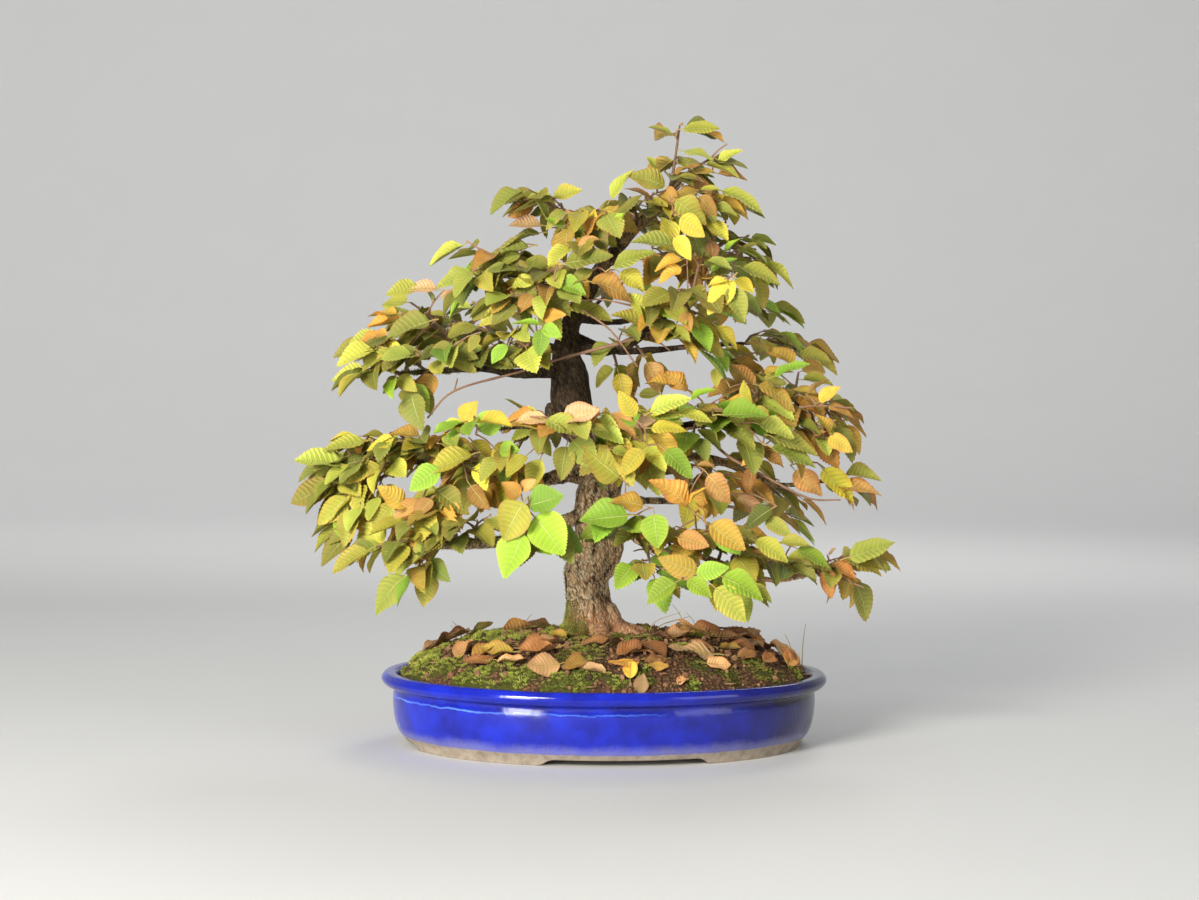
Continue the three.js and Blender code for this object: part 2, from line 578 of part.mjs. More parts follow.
// A blade grows from its base, or on a long stalk from a start further back.
function leafSolid(leaf, fold = leafFold, start = leaf.base) {
  const across = new THREE.Vector3().crossVectors(leaf.heading, leaf.facing);
  const at = (along, out) => leaf.base.clone()
    .addScaledVector(leaf.heading, leaf.length * along)
    .addScaledVector(across, leaf.length * out)
    .addScaledVector(leaf.facing, leaf.length * Math.abs(out) * fold);
  const right = leafEdge.map(([along, out]) => at(along, out));
  const left = leafEdge.map(([along, out]) => at(along + 0.03, -out)).reverse();
  const stalk = at(leafEdge[0][0], 0).sub(start).normalize();
  const foot = start.clone().addScaledVector(stalk, -0.3);
  const ring = [foot, ...right, at(1, 0), ...left];
  const footFacing = leaf.facing.clone().addScaledVector(stalk, -leaf.facing.dot(stalk)).normalize();
  const halves = ring.map((_, n) =>
    (n === 0 ? footFacing : leaf.facing).clone().multiplyScalar(leafThickness / 2));
  const points = [
    ...ring.map((spot, n) => spot.clone().add(halves[n])),
    ...ring.map((spot, n) => spot.clone().sub(halves[n])),
  ];
  const count = ring.length;
  const tip = leafEdge.length + 1;
  const faces = [];
  const both = (a, b, c) => faces.push([a, b, c], [a + count, c + count, b + count]);
  both(0, 1, count - 1);
  both(count - 1, 1, tip);
  for (let n = 1; n < tip - 1; n += 1) {
    both(tip, n, n + 1);
    both(tip, count - n - 1, count - n);
  }
  for (let n = 0; n < count; n += 1) {
    const next = (n + 1) % count;
    faces.push([next, n, n + count], [next, n + count, next + count]);
  }
  return solidOf(points, faces);
}

// The solid spray keeps its stems, the leaf at the end of every twig, on a stalk that stands for
// the twig, and some of the leaves along the stems.
function sprayBody(spray, branch, place, obstacles) {
  const startRadius = Math.min(stemRadius, 0.85 * branchRadius(branch, place));
  const stems = spray.stems.map((line) => tube(line.filter((_, n) => n % 2 === 0), 3,
    (along) => THREE.MathUtils.lerp(startRadius, stemTipRadius, along)));
  if (crosses(joined(stems), obstacles)) {
    return null;
  }
  const leaves = [];
  spray.leaves.forEach((leaf, n) => {
    const onStem = leaf.owner < 0;
    if (leaf.atTip || (onStem && n % sideLeafEvery === 0)) {
      const solid = leafSolid(leaf, leafFold, onStem ? leaf.base : spray.twigs[leaf.owner][0]);
      if (!crosses(solid, [...obstacles, ...leaves])) {
        leaves.push(solid);
      }
    }
  });
  return joined([...stems, ...leaves]);
}

// How far a spray's stems are bent up or down, tried in turn until they are clear of the others
const bends = [0, 7, -7, 13, -13];

// Each spray is grown clear of those before it, and its root ends just short of the wood.
function spraySolids(wood) {
  const placed = [];
  sprayRows.forEach((row, index) => {
    const [name, branch, place, finish] = row;
    const others = placed.map((entry) => entry.solid);
    let body = null;
    for (let n = 0; n < bends.length && !body; n += 1) {
      body = sprayBody(growSpray(row, index, bends[n]), branch, place, others);
    }
    placed.push({ name: `spray_${name}`, solid: largestBody(body.subtract(wood)), finish });
  });
  return placed;
}

// Fallen leaves lie on the soil, each heap just clear of it.
function fallenSolid(leaves, obstacles) {
  const heap = joined(leaves.map(([x, y, degrees, length, fold], n) => {
    const angle = THREE.MathUtils.degToRad(degrees);
    const way = new THREE.Vector3(Math.cos(angle), Math.sin(angle), 0);
    const start = new THREE.Vector3(x, y, 0).addScaledVector(way, -length / 2);
    const end = new THREE.Vector3(x, y, 0).addScaledVector(way, length / 2);
    start.z = soilHeight(start.x, start.y) + n;
    end.z = soilHeight(end.x, end.y) + n;
    const heading = end.clone().sub(start).normalize();
    const facing = new THREE.Vector3(0.12 * Math.sin(angle * 3), 0.12 * Math.cos(angle * 5), 1);
    facing.addScaledVector(heading, -facing.dot(heading)).normalize();
    return leafSolid({ base: start, heading, facing, length }, fold);
  }));
  for (let rise = 0; rise < 12; rise += 0.25) {
    const raised = heap.translate([0, 0, rise]);
    if (!crosses(raised, obstacles)) {
      return raised.translate([0, 0, 0.1]);
    }
  }
  return null;
}

// The whole tree in its pot
const wood = woodSolid();
const woodRoom = woodSolid(fitGap);
const screens = [-1, 1].map((side) => screenSolid(side));
const screenRoom = [-1, 1].map((side) =>
  sheetSolid(side, screenSide + 2 * fitGap, screenThickness + 2 * fitGap));
const soil = soilSolid([woodRoom, ...screenRoom]);

const group = new THREE.Group();
group.position.copy(potOffset);
group.add(meshOf('pot', potSolid(), 'glaze'));
group.add(meshOf('drain_screen_left', screens[0], 'screen'));
group.add(meshOf('drain_screen_right', screens[1], 'screen'));
group.add(meshOf('soil', soil, 'soil'));
group.add(meshOf('trunk_and_branches', wood, 'bark'));
spraySolids(woodRoom).forEach(({ name, solid, finish }) => group.add(meshOf(name, solid, finish)));
fallenRows.forEach(([name, finish, leaves]) => {
  group.add(meshOf(name, fallenSolid(leaves, [soil, wood]), finish));
});

export default group;
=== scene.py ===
# Korean hornbeam bonsai in autumn leaf, in a cobalt oval pot, with moss and fallen leaves on its soil.
# Shapes are worked out in millimetres from the middle of the pot and turned into metres at the end.
import math
import bpy
import numpy as np
from mathutils import Matrix


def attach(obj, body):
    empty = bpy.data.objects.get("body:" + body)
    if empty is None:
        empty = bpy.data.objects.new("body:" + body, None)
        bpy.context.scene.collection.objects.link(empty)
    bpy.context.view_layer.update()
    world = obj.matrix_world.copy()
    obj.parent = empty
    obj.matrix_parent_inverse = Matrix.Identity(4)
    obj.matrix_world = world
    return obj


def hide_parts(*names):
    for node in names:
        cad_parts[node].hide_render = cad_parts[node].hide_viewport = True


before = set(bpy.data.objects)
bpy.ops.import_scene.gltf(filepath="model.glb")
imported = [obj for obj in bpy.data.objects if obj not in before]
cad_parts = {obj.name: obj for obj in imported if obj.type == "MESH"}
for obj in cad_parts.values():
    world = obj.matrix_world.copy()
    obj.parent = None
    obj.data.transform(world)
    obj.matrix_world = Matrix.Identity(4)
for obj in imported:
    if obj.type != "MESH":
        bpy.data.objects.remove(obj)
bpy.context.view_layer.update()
print("frame loaded:", len(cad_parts), "nodes")

layout = {
    "metresPerMillimetre": 0.001, "millimetresPerMetre": 1000,
    "potPlace": (8.0, -2.8, 0.0),  # the pot's middle, from the origin under the middle of the crown
    "softEdge": math.radians(55), "allSoft": math.radians(180),  # faces shaded as one below this angle
}
upward = np.array((0.0, 0.0, 1.0))
view = {
    "place": (-0.2065, -1.4874, 0.238), "swing": 8.0, "pitch": 1.59, "roll": 0.72,
    "focus": 2236, "frameWidth": 1199, "sensor": 36,  # focus and frame in pixels of the photograph
}


# Numbers: seeded draws, smooth noise and small vector helpers

drawing = {"factor": 16807, "whole": 2147483647}  # the solids draw their random shares with these too
mixing = {"x": 374761393, "y": 668265263, "z": 2246822519, "seed": 3266489917, "whole": 4294967296}


def drawer(seed):
    state = [seed]

    def draw():
        state[0] = (state[0] * drawing["factor"]) % drawing["whole"]
        return state[0] / drawing["whole"]

    return draw


def unit(vector):
    return vector / np.linalg.norm(vector)


def units(vectors):
    return vectors / np.linalg.norm(vectors, axis=1, keepdims=True)


def squareTo(heading, facing):
    return unit(facing - heading * np.dot(facing, heading))


def smoothStep(low, high, value):
    share = np.clip((value - low) / (high - low), 0, 1)
    return share * share * (3 - 2 * share)


def latticeValue(cells, seed):  # one random value from -1 to 1 for each whole place
    mixed = np.uint32((seed * mixing["seed"]) % mixing["whole"])
    for axis, name in enumerate("xyz"):
        mixed = mixed + cells[..., axis].astype(np.uint32) * np.uint32(mixing[name])
    for shift, factor in ((15, mixing["z"]), (13, mixing["seed"]), (16, 1)):
        mixed = (mixed ^ (mixed >> np.uint32(shift))) * np.uint32(factor)
    return mixed.astype(np.float64) / (mixing["whole"] - 1) * 2 - 1


def lumps(points, size, seed):  # smooth random values from -1 to 1, with lumps of one size
    scaled = np.asarray(points, float) / size
    corner = np.floor(scaled)
    share = scaled - corner
    share = share * share * (3 - 2 * share)
    cells = corner.astype(np.int64)
    total = np.zeros(scaled.shape[:-1])
    for step in np.ndindex(2, 2, 2):
        weight = np.prod(np.where(np.array(step) == 1, share, 1 - share), axis=-1)
        total += weight * latticeValue(cells + np.array(step), seed)
    return total


def flat(x, y):
    return np.stack([x, y, np.zeros_like(x)], axis=-1)


def turnAngles(count):  # evenly round a whole turn
    return np.arange(count) / count * 2 * math.pi


def colour(red, green, blue):  # a screen colour from 0 to 255 as linear light
    def light(value):
        share = value / 255
        return share / 12.92 if share <= 0.04045 else ((share + 0.055) / 1.055) ** 2.4

    return (light(red), light(green), light(blue), 1.0)


# Lines: smooth curves kept as closely spaced points

def smoothLine(corners, stepsEach):
    line = []
    for n in range(len(corners) - 1):
        b, c = corners[n], corners[n + 1]
        a = corners[n - 1] if n > 0 else 2 * b - c
        d = corners[n + 2] if n + 2 < len(corners) else 2 * c - b
        for step in range(stepsEach):
            t = step / stepsEach
            line.append(a * 0.5 * (-t + 2 * t * t - t**3) + b * 0.5 * (2 - 5 * t * t + 3 * t**3)
                        + c * 0.5 * (t + 4 * t * t - 3 * t**3) + d * 0.5 * (-t * t + t**3))
    line.append(corners[-1].copy())
    return line


def lineLength(line):
    return sum(float(np.linalg.norm(b - a)) for a, b in zip(line, line[1:]))


def spotOn(line, fraction):
    left = lineLength(line) * fraction
    for n in range(len(line) - 1):
        step = float(np.linalg.norm(line[n + 1] - line[n]))
        if left <= step or n == len(line) - 2:
            point = line[n] + (line[n + 1] - line[n]) * min(left / step, 1)
            return point, (line[n + 1] - line[n]) / step
        left -= step


# Pieces are gathered as points and faces, with marks that their finishes read

class Shape:
    def __init__(self, **marks):
        self.widths = marks  # how many numbers each mark holds for a point
        self.points, self.faces, self.looks = [], [], []
        self.marks = {name: [] for name in marks}
        self.count = 0

    def add(self, points, faces, look=0, **marks):
        points = np.asarray(points, float).reshape(-1, 3)
        self.points.append(points)
        for group in faces:
            group = np.asarray(group)
            self.faces.append(group + self.count)
            self.looks.append(np.full(len(group), look))
        for name, width in self.widths.items():
            values = np.asarray(marks.get(name, np.zeros(width)), float)
            self.marks[name].append(np.broadcast_to(values, (len(points), width)))
        self.count += len(points)

    def triangles(self):
        return sum(len(group) * (group.shape[1] - 2) for group in self.faces)

    def piece(self, name, finishes, slot, replaced=(), smoothTo=layout["softEdge"]):
        mesh = bpy.data.meshes.new(name)
        points = (np.concatenate(self.points) + layout["potPlace"]) * layout["metresPerMillimetre"]
        corners = np.concatenate([group.ravel() for group in self.faces])
        sides = np.concatenate([np.full(len(group), group.shape[1]) for group in self.faces])
        mesh.vertices.add(len(points))
        mesh.vertices.foreach_set("co", points.ravel())
        mesh.loops.add(len(corners))
        mesh.loops.foreach_set("vertex_index", corners)
        mesh.polygons.add(len(sides))
        mesh.polygons.foreach_set("loop_start", np.concatenate([[0], np.cumsum(sides)[:-1]]))
        mesh.polygons.foreach_set("loop_total", sides)
        mesh.polygons.foreach_set("material_index", np.concatenate(self.looks))
        mesh.update(calc_edges=True)
        mesh.validate()
        for mark, width in self.widths.items():
            kind, field = {3: ("FLOAT_VECTOR", "vector"), 4: ("FLOAT_COLOR", "color")}[width]
            attribute = mesh.attributes.new(mark, kind, "POINT")
            attribute.data.foreach_set(field, np.concatenate(self.marks[mark]).ravel())
        return dressed(name, mesh, finishes, replaced, smoothTo)


def dressed(name, mesh, finishes, replaced, smoothTo):
    mesh.polygons.foreach_set("use_smooth", np.full(len(mesh.polygons), smoothTo > 0))
    if smoothTo > 0:
        mesh.set_sharp_from_angle(angle=smoothTo)
    for finish in finishes:
        mesh.materials.append(finish)
    piece = bpy.data.objects.new(name, mesh)
    bpy.context.scene.collection.objects.link(piece)
    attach(piece, "root")
    if replaced:
        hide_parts(*replaced)
    return piece


def ringFaces(rows, turns, inward=False):  # walls between rings, then a fan to a hub at each end
    here = np.arange(turns)
    after = (here + 1) % turns
    if inward:
        here, after = after, here
    walls = [np.stack([low + here, low + after, low + turns + after, low + turns + here], axis=1)
             for low in range(0, (rows - 1) * turns, turns)]
    last, hub = (rows - 1) * turns, rows * turns
    first = np.stack([after, here, np.full(turns, hub)], axis=1)
    final = np.stack([last + here, last + after, np.full(turns, hub + 1)], axis=1)
    return [np.concatenate(walls), first, final]


def addRings(shape, x, y, z, hubs, mark, values, inward=False):  # about the pot's middle, with two hubs
    rings = np.stack([x, y, z], axis=-1).reshape(-1, 3)
    marks = np.stack([*values, 0 * values[0]], axis=-1).reshape(-1, 3)
    points = np.concatenate([rings, [(0, 0, height) for height in hubs]])
    marks = np.concatenate([marks, np.zeros((len(hubs), 3))])
    shape.add(points, ringFaces(*x.shape, inward), **{mark: marks})


def tube(line, radii, sides):  # rings round a line, closed to a point at both ends
    line = [np.asarray(spot, float) for spot in line]
    last = len(line) - 1
    cosines, sines = np.cos(turnAngles(sides))[:, None], np.sin(turnAngles(sides))[:, None]
    across, rings = None, []
    for n, spot in enumerate(line):
        tangent = unit(line[min(n + 1, last)] - line[max(n - 1, 0)])
        if across is None:  # any way but the line's own
            across = np.array((0.0 if abs(tangent[0]) > 0.7 else 1.0, 0.2, 0.3))
        across = squareTo(tangent, across)
        radius = np.broadcast_to(radii[n], (sides,))[:, None]
        rings.append(spot + radius * (cosines * across + sines * np.cross(tangent, across)))
    return np.concatenate(rings + [[line[0]], [line[last]]]), ringFaces(len(line), sides)


# Finishes: a socket joins in Python arithmetic, and colours go through Mix nodes

class Link:
    def __init__(self, finish, socket):
        self.finish, self.socket = finish, socket

    def __add__(self, other):
        return self.finish.maths("ADD", self, other)

    def __radd__(self, other):
        return self.finish.maths("ADD", other, self)

    def __sub__(self, other):
        return self.finish.maths("SUBTRACT", self, other)

    def __rsub__(self, other):
        return self.finish.maths("SUBTRACT", other, self)

    def __mul__(self, other):
        return self.finish.maths("MULTIPLY", self, other)

    def __rmul__(self, other):
        return self.finish.maths("MULTIPLY", other, self)

    def __abs__(self):
        return self.finish.maths("ABSOLUTE", self)


class Finish:
    def __init__(self, name, **uniform):
        self.material = bpy.data.materials.new(name)
        self.material.use_nodes = True
        self.tree = self.material.node_tree
        self.shader = self.tree.nodes["Principled BSDF"]
        for socket, value in uniform.items():
            self.shader.inputs[socket.replace("_", " ")].default_value = value

    def node(self, kind, settings=None, values=None, output=0):
        made = self.tree.nodes.new(kind)
        for name, value in (settings or {}).items():
            setattr(made, name, value)
        for socket, value in (values or {}).items():
            self.feed(made.inputs[socket], value)
        return Link(self, made.outputs[output])

    def feed(self, socket, value):
        if isinstance(value, Link):
            self.tree.links.new(value.socket, socket)
        else:
            socket.default_value = value

    def maths(self, operation, *values):
        return self.node("ShaderNodeMath", {"operation": operation}, dict(enumerate(values)))

    def blend(self, first, second, share, way="MIX"):  # two colours
        settings = {"data_type": "RGBA", "blend_type": way, "clamp_factor": True}
        return self.node("ShaderNodeMix", settings, {0: share, 6: first, 7: second}, output=2)

    def step(self, low, high, value):
        return self.node("ShaderNodeMapRange", {"interpolation_type": "SMOOTHSTEP"},
                         {"Value": value, "From Min": low, "From Max": high})

    def spots(self, stretch=(1, 1, 1)):  # places on the object, in millimetres, stretched if need be
        places = self.node("ShaderNodeTexCoord", output="Object")
        scale = tuple(share / layout["metresPerMillimetre"] for share in stretch)
        return self.node("ShaderNodeVectorMath", {"operation": "MULTIPLY"}, {0: places, 1: scale})

    def parts(self, vector):
        split = self.node("ShaderNodeSeparateXYZ", values={0: vector})
        return [Link(self, socket) for socket in split.socket.node.outputs]

    def noise(self, size, places, detail=3.0, rough=0.55):
        return self.node("ShaderNodeTexNoise", values={"Vector": places, "Scale": 1 / size,
                                                       "Detail": detail, "Roughness": rough})

    def waver(self, size, places, detail, spread):  # noise about zero
        return (self.noise(size, places, detail) - 0.5) * spread

    def cells(self, size, places, feature="F1"):
        return self.node("ShaderNodeTexVoronoi", {"feature": feature},
                         {"Vector": places, "Scale": 1 / size}, "Distance")

    def mark(self, name, output="Vector"):
        return self.node("ShaderNodeAttribute", {"attribute_name": name}, output=output)

    def bump(self, height, depth, strength=1.0):  # depth in millimetres
        return self.node("ShaderNodeBump", values={"Height": height, "Strength": strength,
                                                   "Distance": depth * layout["metresPerMillimetre"]})

    def use(self, **links):
        for socket, value in links.items():
            self.feed(self.shader.inputs[socket.replace("_", " ")], value)
        return self.material


# Glaze and bare clay of the pot

def glazeFinish():
    tone = {
        # the violet is the colour of the painted shade under the lip and on the right half
        "deep": colour(12, 12, 108), "bright": colour(20, 44, 204), "shadeViolet": colour(12, 4, 42),
        "run": colour(92, 140, 250), "fade": colour(142, 142, 186), "clay": colour(168, 154, 136),
        "clayShade": colour(132, 118, 101), "lipEdge": colour(120, 108, 104),
        "scale": colour(196, 194, 186),
    }
    level = {"underLip": 37.5, "run": 33.2, "fade": (15.5, 7.4), "clay": (7.9, 7.2)}  # heights
    glaze = Finish("cobalt_glaze", Specular_IOR_Level=0.6)
    spots = glaze.spots()
    x, _, z = glaze.parts(spots)
    wave = glaze.noise(26, spots, 3) - 0.5
    fine = glaze.noise(2.2, spots, 4)
    mottle = glaze.noise(16, spots, 5, 0.6)
    body = glaze.blend(tone["deep"], tone["bright"], glaze.step(0.05, 0.95, mottle + wave * 0.4))
    # painted shade: a dark belt under the lip, and the right half of the wall darkened as if turned
    # away from the light
    under = glaze.step(6.5, 0.5, abs(z - level["underLip"]))
    under = under * glaze.step(0.35, 0.7, glaze.noise(40, spots, 2))
    body = glaze.blend(body, tone["shadeViolet"], under * 0.4 + glaze.step(10, 150, x) * 0.85)
    # the thin run of pale glaze, strongest at the left
    jag = glaze.noise(5, spots, 2) - 0.5
    strong = glaze.step(0.36, 0.6, glaze.noise(34, spots, 1)) * 0.5 + glaze.step(10, -90, x) * 0.5
    strong = strong * (0.15 + 0.85 * glaze.step(50, -20, x))
    line = glaze.step(0.8, 0.15, abs(z - level["run"] + wave * 3 + jag * 2.6)) * strong
    body = glaze.blend(body, tone["run"], line)
    # milky above the feet, worn on the lip's edges, crusted inside the rim
    foot = glaze.step(*level["fade"], z + wave * 7 + (fine - 0.5) * 3)
    body = glaze.blend(body, tone["fade"], foot * 0.55)
    edge, inner, _ = glaze.parts(glaze.mark("potSpot"))
    body = glaze.blend(body, tone["lipEdge"], glaze.step(0.45, 0.95, edge + (fine - 0.5) * 0.7) * 0.75)
    crust = glaze.step(0.2, 0.75, inner + glaze.waver(7, spots, 4, 0.9))
    body = glaze.blend(body, tone["scale"], crust * 0.7)
    clayGrain = glaze.step(0.35, 0.75, glaze.noise(6, spots, 6))
    clay = glaze.blend(tone["clay"], tone["clayShade"], clayGrain)
    bare = glaze.step(*level["clay"], z + wave * 1.6 + (fine - 0.5) * 0.7)
    roughness = 0.13 + crust * 0.4 + foot * 0.08
    grain = glaze.noise(0.9, spots, 4) * bare * 0.25 + glaze.noise(14, spots, 2) * (1 - bare) * 0.35
    return glaze.use(Base_Color=glaze.blend(body, clay, bare), Roughness=roughness + bare * 0.62,
                     Normal=glaze.bump(grain, 0.9))


# Bark of the trunk, branches and roots

def barkFinish():
    tone = {
        "dark": colour(64, 48, 34), "middle": colour(216, 173, 124), "fleck": colour(252, 232, 194),
        "shade": colour(28, 22, 17), "root": colour(186, 122, 84),
        "moss": colour(118, 128, 40), "deepMoss": colour(60, 68, 22),
    }
    level = {"flecked": (235, 120), "shaded": (140, 215), "leader": (300, 340), "root": (100, 76),
             "moss": (92, 60), "mossTop": (120, 90)}  # heights where each begins and is whole
    bark = Finish("hornbeam_bark", Specular_IOR_Level=0.25)
    spots = bark.spots()
    along = bark.spots((1, 1, 0.42))
    x, y, z = bark.parts(spots)
    plates = bark.noise(5.5, along, 5, 0.62)
    cracks = bark.cells(3.4, along, "DISTANCE_TO_EDGE")
    slanted = bark.node("ShaderNodeCombineXYZ", values={0: x + z * 0.45, 1: y, 2: z * 0.36})
    speck = bark.noise(1.35, slanted, 3, 0.6)
    body = bark.blend(tone["dark"], tone["middle"], bark.step(0.36, 0.58, plates))
    height = bark.step(*level["flecked"], z + bark.waver(40, spots, 2, 60))
    # painted shade: the trunk turns near black above about 140 mm, where the crown shades it, and less
    # so at the leader
    upper = bark.step(*level["shaded"], z + bark.waver(30, spots, 2, 40))
    top = bark.step(*level["leader"], z)
    body = bark.blend(body, tone["shade"], upper * (0.92 - top * 0.4))
    # the pale flecks are the bark's own, but they fade out under the crown along with the painted shade
    flecks = bark.step(0.48, 0.56, speck) * bark.step(0.3, 0.5, plates)
    body = bark.blend(body, tone["fleck"], flecks * (0.06 + 0.84 * height + top * 0.2))
    body = bark.blend(body, tone["dark"], bark.step(0.09, 0.0, cracks) * 0.6)
    low = bark.step(*level["root"], z + bark.waver(14, spots, 3, 26))
    body = bark.blend(body, tone["root"], low * 0.6)
    mossy = bark.step(*level["moss"], z + (x + 11) * 2.2 + bark.waver(9, spots, 4, 60))
    green = bark.blend(tone["deepMoss"], tone["moss"], bark.noise(1.6, spots, 3))
    body = bark.blend(body, green, mossy * bark.step(*level["mossTop"], z) * 0.9)
    relief = plates * 0.8 + bark.step(0.0, 0.16, cracks) * 0.5 + flecks * 0.4
    return bark.use(Base_Color=body, Roughness=0.95 - flecks * 0.2, Normal=bark.bump(relief, 1.1, 0.8))


def twigFinish():
    tone = {"young": colour(172, 128, 98), "old": colour(100, 82, 68), "speck": colour(176, 150, 124),
            "grass": colour(176, 160, 74)}
    twig = Finish("twig_bark", Specular_IOR_Level=0.35)
    spots = twig.spots()
    age, grassy, _ = twig.parts(twig.mark("twigSpot"))
    body = twig.blend(tone["old"], tone["young"], age + twig.waver(5, spots, 3, 0.5))
    body = twig.blend(body, tone["grass"], grassy)
    pores = twig.step(0.63, 0.72, twig.noise(0.9, spots, 2))
    body = twig.blend(body, tone["speck"], pores * 0.55)
    return twig.use(Base_Color=body, Roughness=0.7 + pores * 0.15,
                    Normal=twig.bump(twig.noise(0.8, spots, 3), 0.3))


# Leaf: the marks give the place on the blade, counted in side veins, and the leaf's own colours

def leafFinish(name, dry):
    tone = {"rib": colour(226, 220, 150) if not dry else colour(216, 178, 130),
            "back": colour(190, 190, 120) if not dry else colour(200, 160, 124),
            "grooveShade": colour(178, 176, 96), "heart": colour(206, 222, 130),
            "speck": colour(150, 88, 40)}
    leaf = Finish(name, Specular_IOR_Level=0.4 if not dry else 0.3)
    spots = leaf.spots()
    vein, across, along = leaf.parts(leaf.mark("leafSpot"))
    tint = leaf.mark("leafTint", "Color")
    upper = leaf.mark("leafTint", "Alpha")
    rim = leaf.mark("leafRim", "Color")
    dryness = leaf.mark("leafRim", "Alpha")
    blotch = leaf.noise(6, spots, 4, 0.6)
    grain = leaf.noise(0.7, spots, 2)
    offVein = abs(leaf.maths("FRACT", vein + 0.5) - 0.5)
    offRib = abs(across)
    outer = leaf.step(0.62, 1.02, offRib + leaf.step(0.75, 1.0, along) * 0.35 + (blotch - 0.5) * 0.55)
    spread = leaf.step(0.62, 0.3, blotch) * dryness
    body = leaf.blend(tint, rim, outer * (0.25 + 0.75 * dryness) + spread * 0.9)
    heart = leaf.step(0.75, 0.05, offRib + (blotch - 0.5) * 0.8)
    body = leaf.blend(body, tone["heart"], heart * (1 - dryness) * 0.5, "MULTIPLY")
    # painted shade: darker stripes along the sunken side veins, where the pleats fall into shade
    grooveShade = leaf.step(0.36, 0.05, offVein) * leaf.step(1.0, 0.55, offRib)
    body = leaf.blend(body, tone["grooveShade"], grooveShade * (0.14 + 0.16 * dryness), "MULTIPLY")
    specks = leaf.step(0.66, 0.73, leaf.noise(1.2, spots, 2)) * leaf.step(0.25, 0.7, dryness)
    body = leaf.blend(body, tone["speck"], specks * 0.6)
    sideVein = leaf.step(0.11, 0.03, offVein) * leaf.step(1.0, 0.8, offRib)
    midRib = leaf.step(0.055, 0.02, offRib)
    body = leaf.blend(body, tone["rib"], sideVein * 0.12 + midRib * 0.4)
    body = leaf.blend(body, tone["back"], (1 - upper) * 0.32)
    net = leaf.cells(0.9, spots, "DISTANCE_TO_EDGE")
    relief = leaf.step(0.0, 0.12, net) * 0.25 + grain * 0.15 - sideVein * 0.9 - midRib * 1.2
    return leaf.use(Base_Color=body, Roughness=0.5 + 0.2 * dryness + grain * 0.1,
                    Normal=leaf.bump(relief, 0.3, 0.8))


# Soil, crumbs and moss

def soilFinish():
    tone = {"dark": colour(78, 56, 40), "middle": colour(140, 102, 70), "pale": colour(184, 148, 108),
            "green": colour(96, 98, 38), "deepGreen": colour(50, 48, 22)}
    soil = Finish("potting_soil", Specular_IOR_Level=0.2)
    spots = soil.spots()
    mossy = soil.parts(soil.mark("soilSpot"))[0]
    grain = soil.cells(2.4, spots)
    fine = soil.noise(1.1, spots, 4)
    # painted shade: darker between the raised grains, in the hollows that the bump sinks
    body = soil.blend(tone["middle"], tone["dark"], soil.step(0.15, 0.6, grain))
    body = soil.blend(body, tone["pale"], soil.step(0.6, 0.75, fine) * 0.5)
    green = soil.blend(tone["deepGreen"], tone["green"], fine)
    body = soil.blend(body, green, soil.step(0.25, 0.7, mossy + soil.waver(5, spots, 3, 0.7)))
    relief = soil.step(0.75, 0.0, grain) + fine * 0.5
    return soil.use(Base_Color=body, Roughness=0.95 - fine * 0.1, Normal=soil.bump(relief, 1.2))


def speckFinish(name, size, depth):
    speck = Finish(name, Specular_IOR_Level=0.25)
    spots = speck.spots()
    fine = speck.noise(size, spots, 3)
    tint = speck.mark("speckTint", "Color")
    body = speck.blend(tint, colour(30, 26, 14), speck.step(0.55, 0.2, fine) * 0.6)
    return speck.use(Base_Color=body, Roughness=0.85 + fine * 0.1, Normal=speck.bump(fine, depth))


def screenFinish():
    screen = Finish("drain_screen_plastic", Specular_IOR_Level=0.5)
    spots = screen.spots()
    dust = screen.noise(4, spots, 4)
    body = screen.blend(colour(34, 36, 35), colour(92, 78, 60), screen.step(0.45, 0.75, dust))
    return screen.use(Base_Color=body, Roughness=0.45 + dust * 0.3, Normal=screen.bump(dust, 0.15))


# Pot: a turned oval with a rolled lip, four feet and two drain holes

pot = {
    "length": 300, "width": 230, "lipFoot": 39.5, "floorTop": 10, "floorUnderside": 4.5,
    "footReach": 4.0, "footEase": 9, "frontOpening": 56, "endOpening": 33, "soilEdge": 44.5,
    "drain": 22, "drainSpacing": 140, "drillSides": 48, "drillReach": (-5.0, 8.0),
    "turns": 300, "easeSteps": 5, "crease": math.radians(50), "wobble": 0.35,
}
rimRadius = pot["length"] / 2
flatness = pot["width"] / pot["length"]
potProfile = [  # from the middle below to the middle above: inset from the rim, height, easing
    (rimRadius, 4.5, 0), (80, 4.5, 0), (31, 4.5, 1), (29, 0, 0.8), (17, 0, 0.8), (16, 4.5, 3),
    (11.5, 9, 5), (8.5, 18, 6), (7.5, 31, 4), (8.5, 38, 1.4), (2.5, 39.5, 1.6), (0, 42.5, 1.6),
    (0, 45, 1.4), (2.5, 48, 1.3), (9, 48, 1.5), (11, 44.5, 2), (12.5, 20, 5), (16, 12.5, 3),
    (24, 10, 3), (80, 10, 0), (rimRadius, 10, 0),
]


def roundedOutline(profile):  # each corner is eased along its two edges
    corners = [(rimRadius - inset, height, ease) for inset, height, ease in profile]
    outline = []
    for n, (x, z, ease) in enumerate(corners):
        here = np.array((x, z))
        if n in (0, len(corners) - 1) or ease == 0:
            outline.append(here)
            continue
        before, after = (np.array(corners[m][:2]) - here for m in (n - 1, n + 1))
        start = here + before * min(ease / np.linalg.norm(before), 0.5)
        end = here + after * min(ease / np.linalg.norm(after), 0.5)
        for share in np.linspace(0, 1, pot["easeSteps"]):
            outline.append((1 - share) ** 2 * start + 2 * share * (1 - share) * here + share**2 * end)
    return np.array(outline)


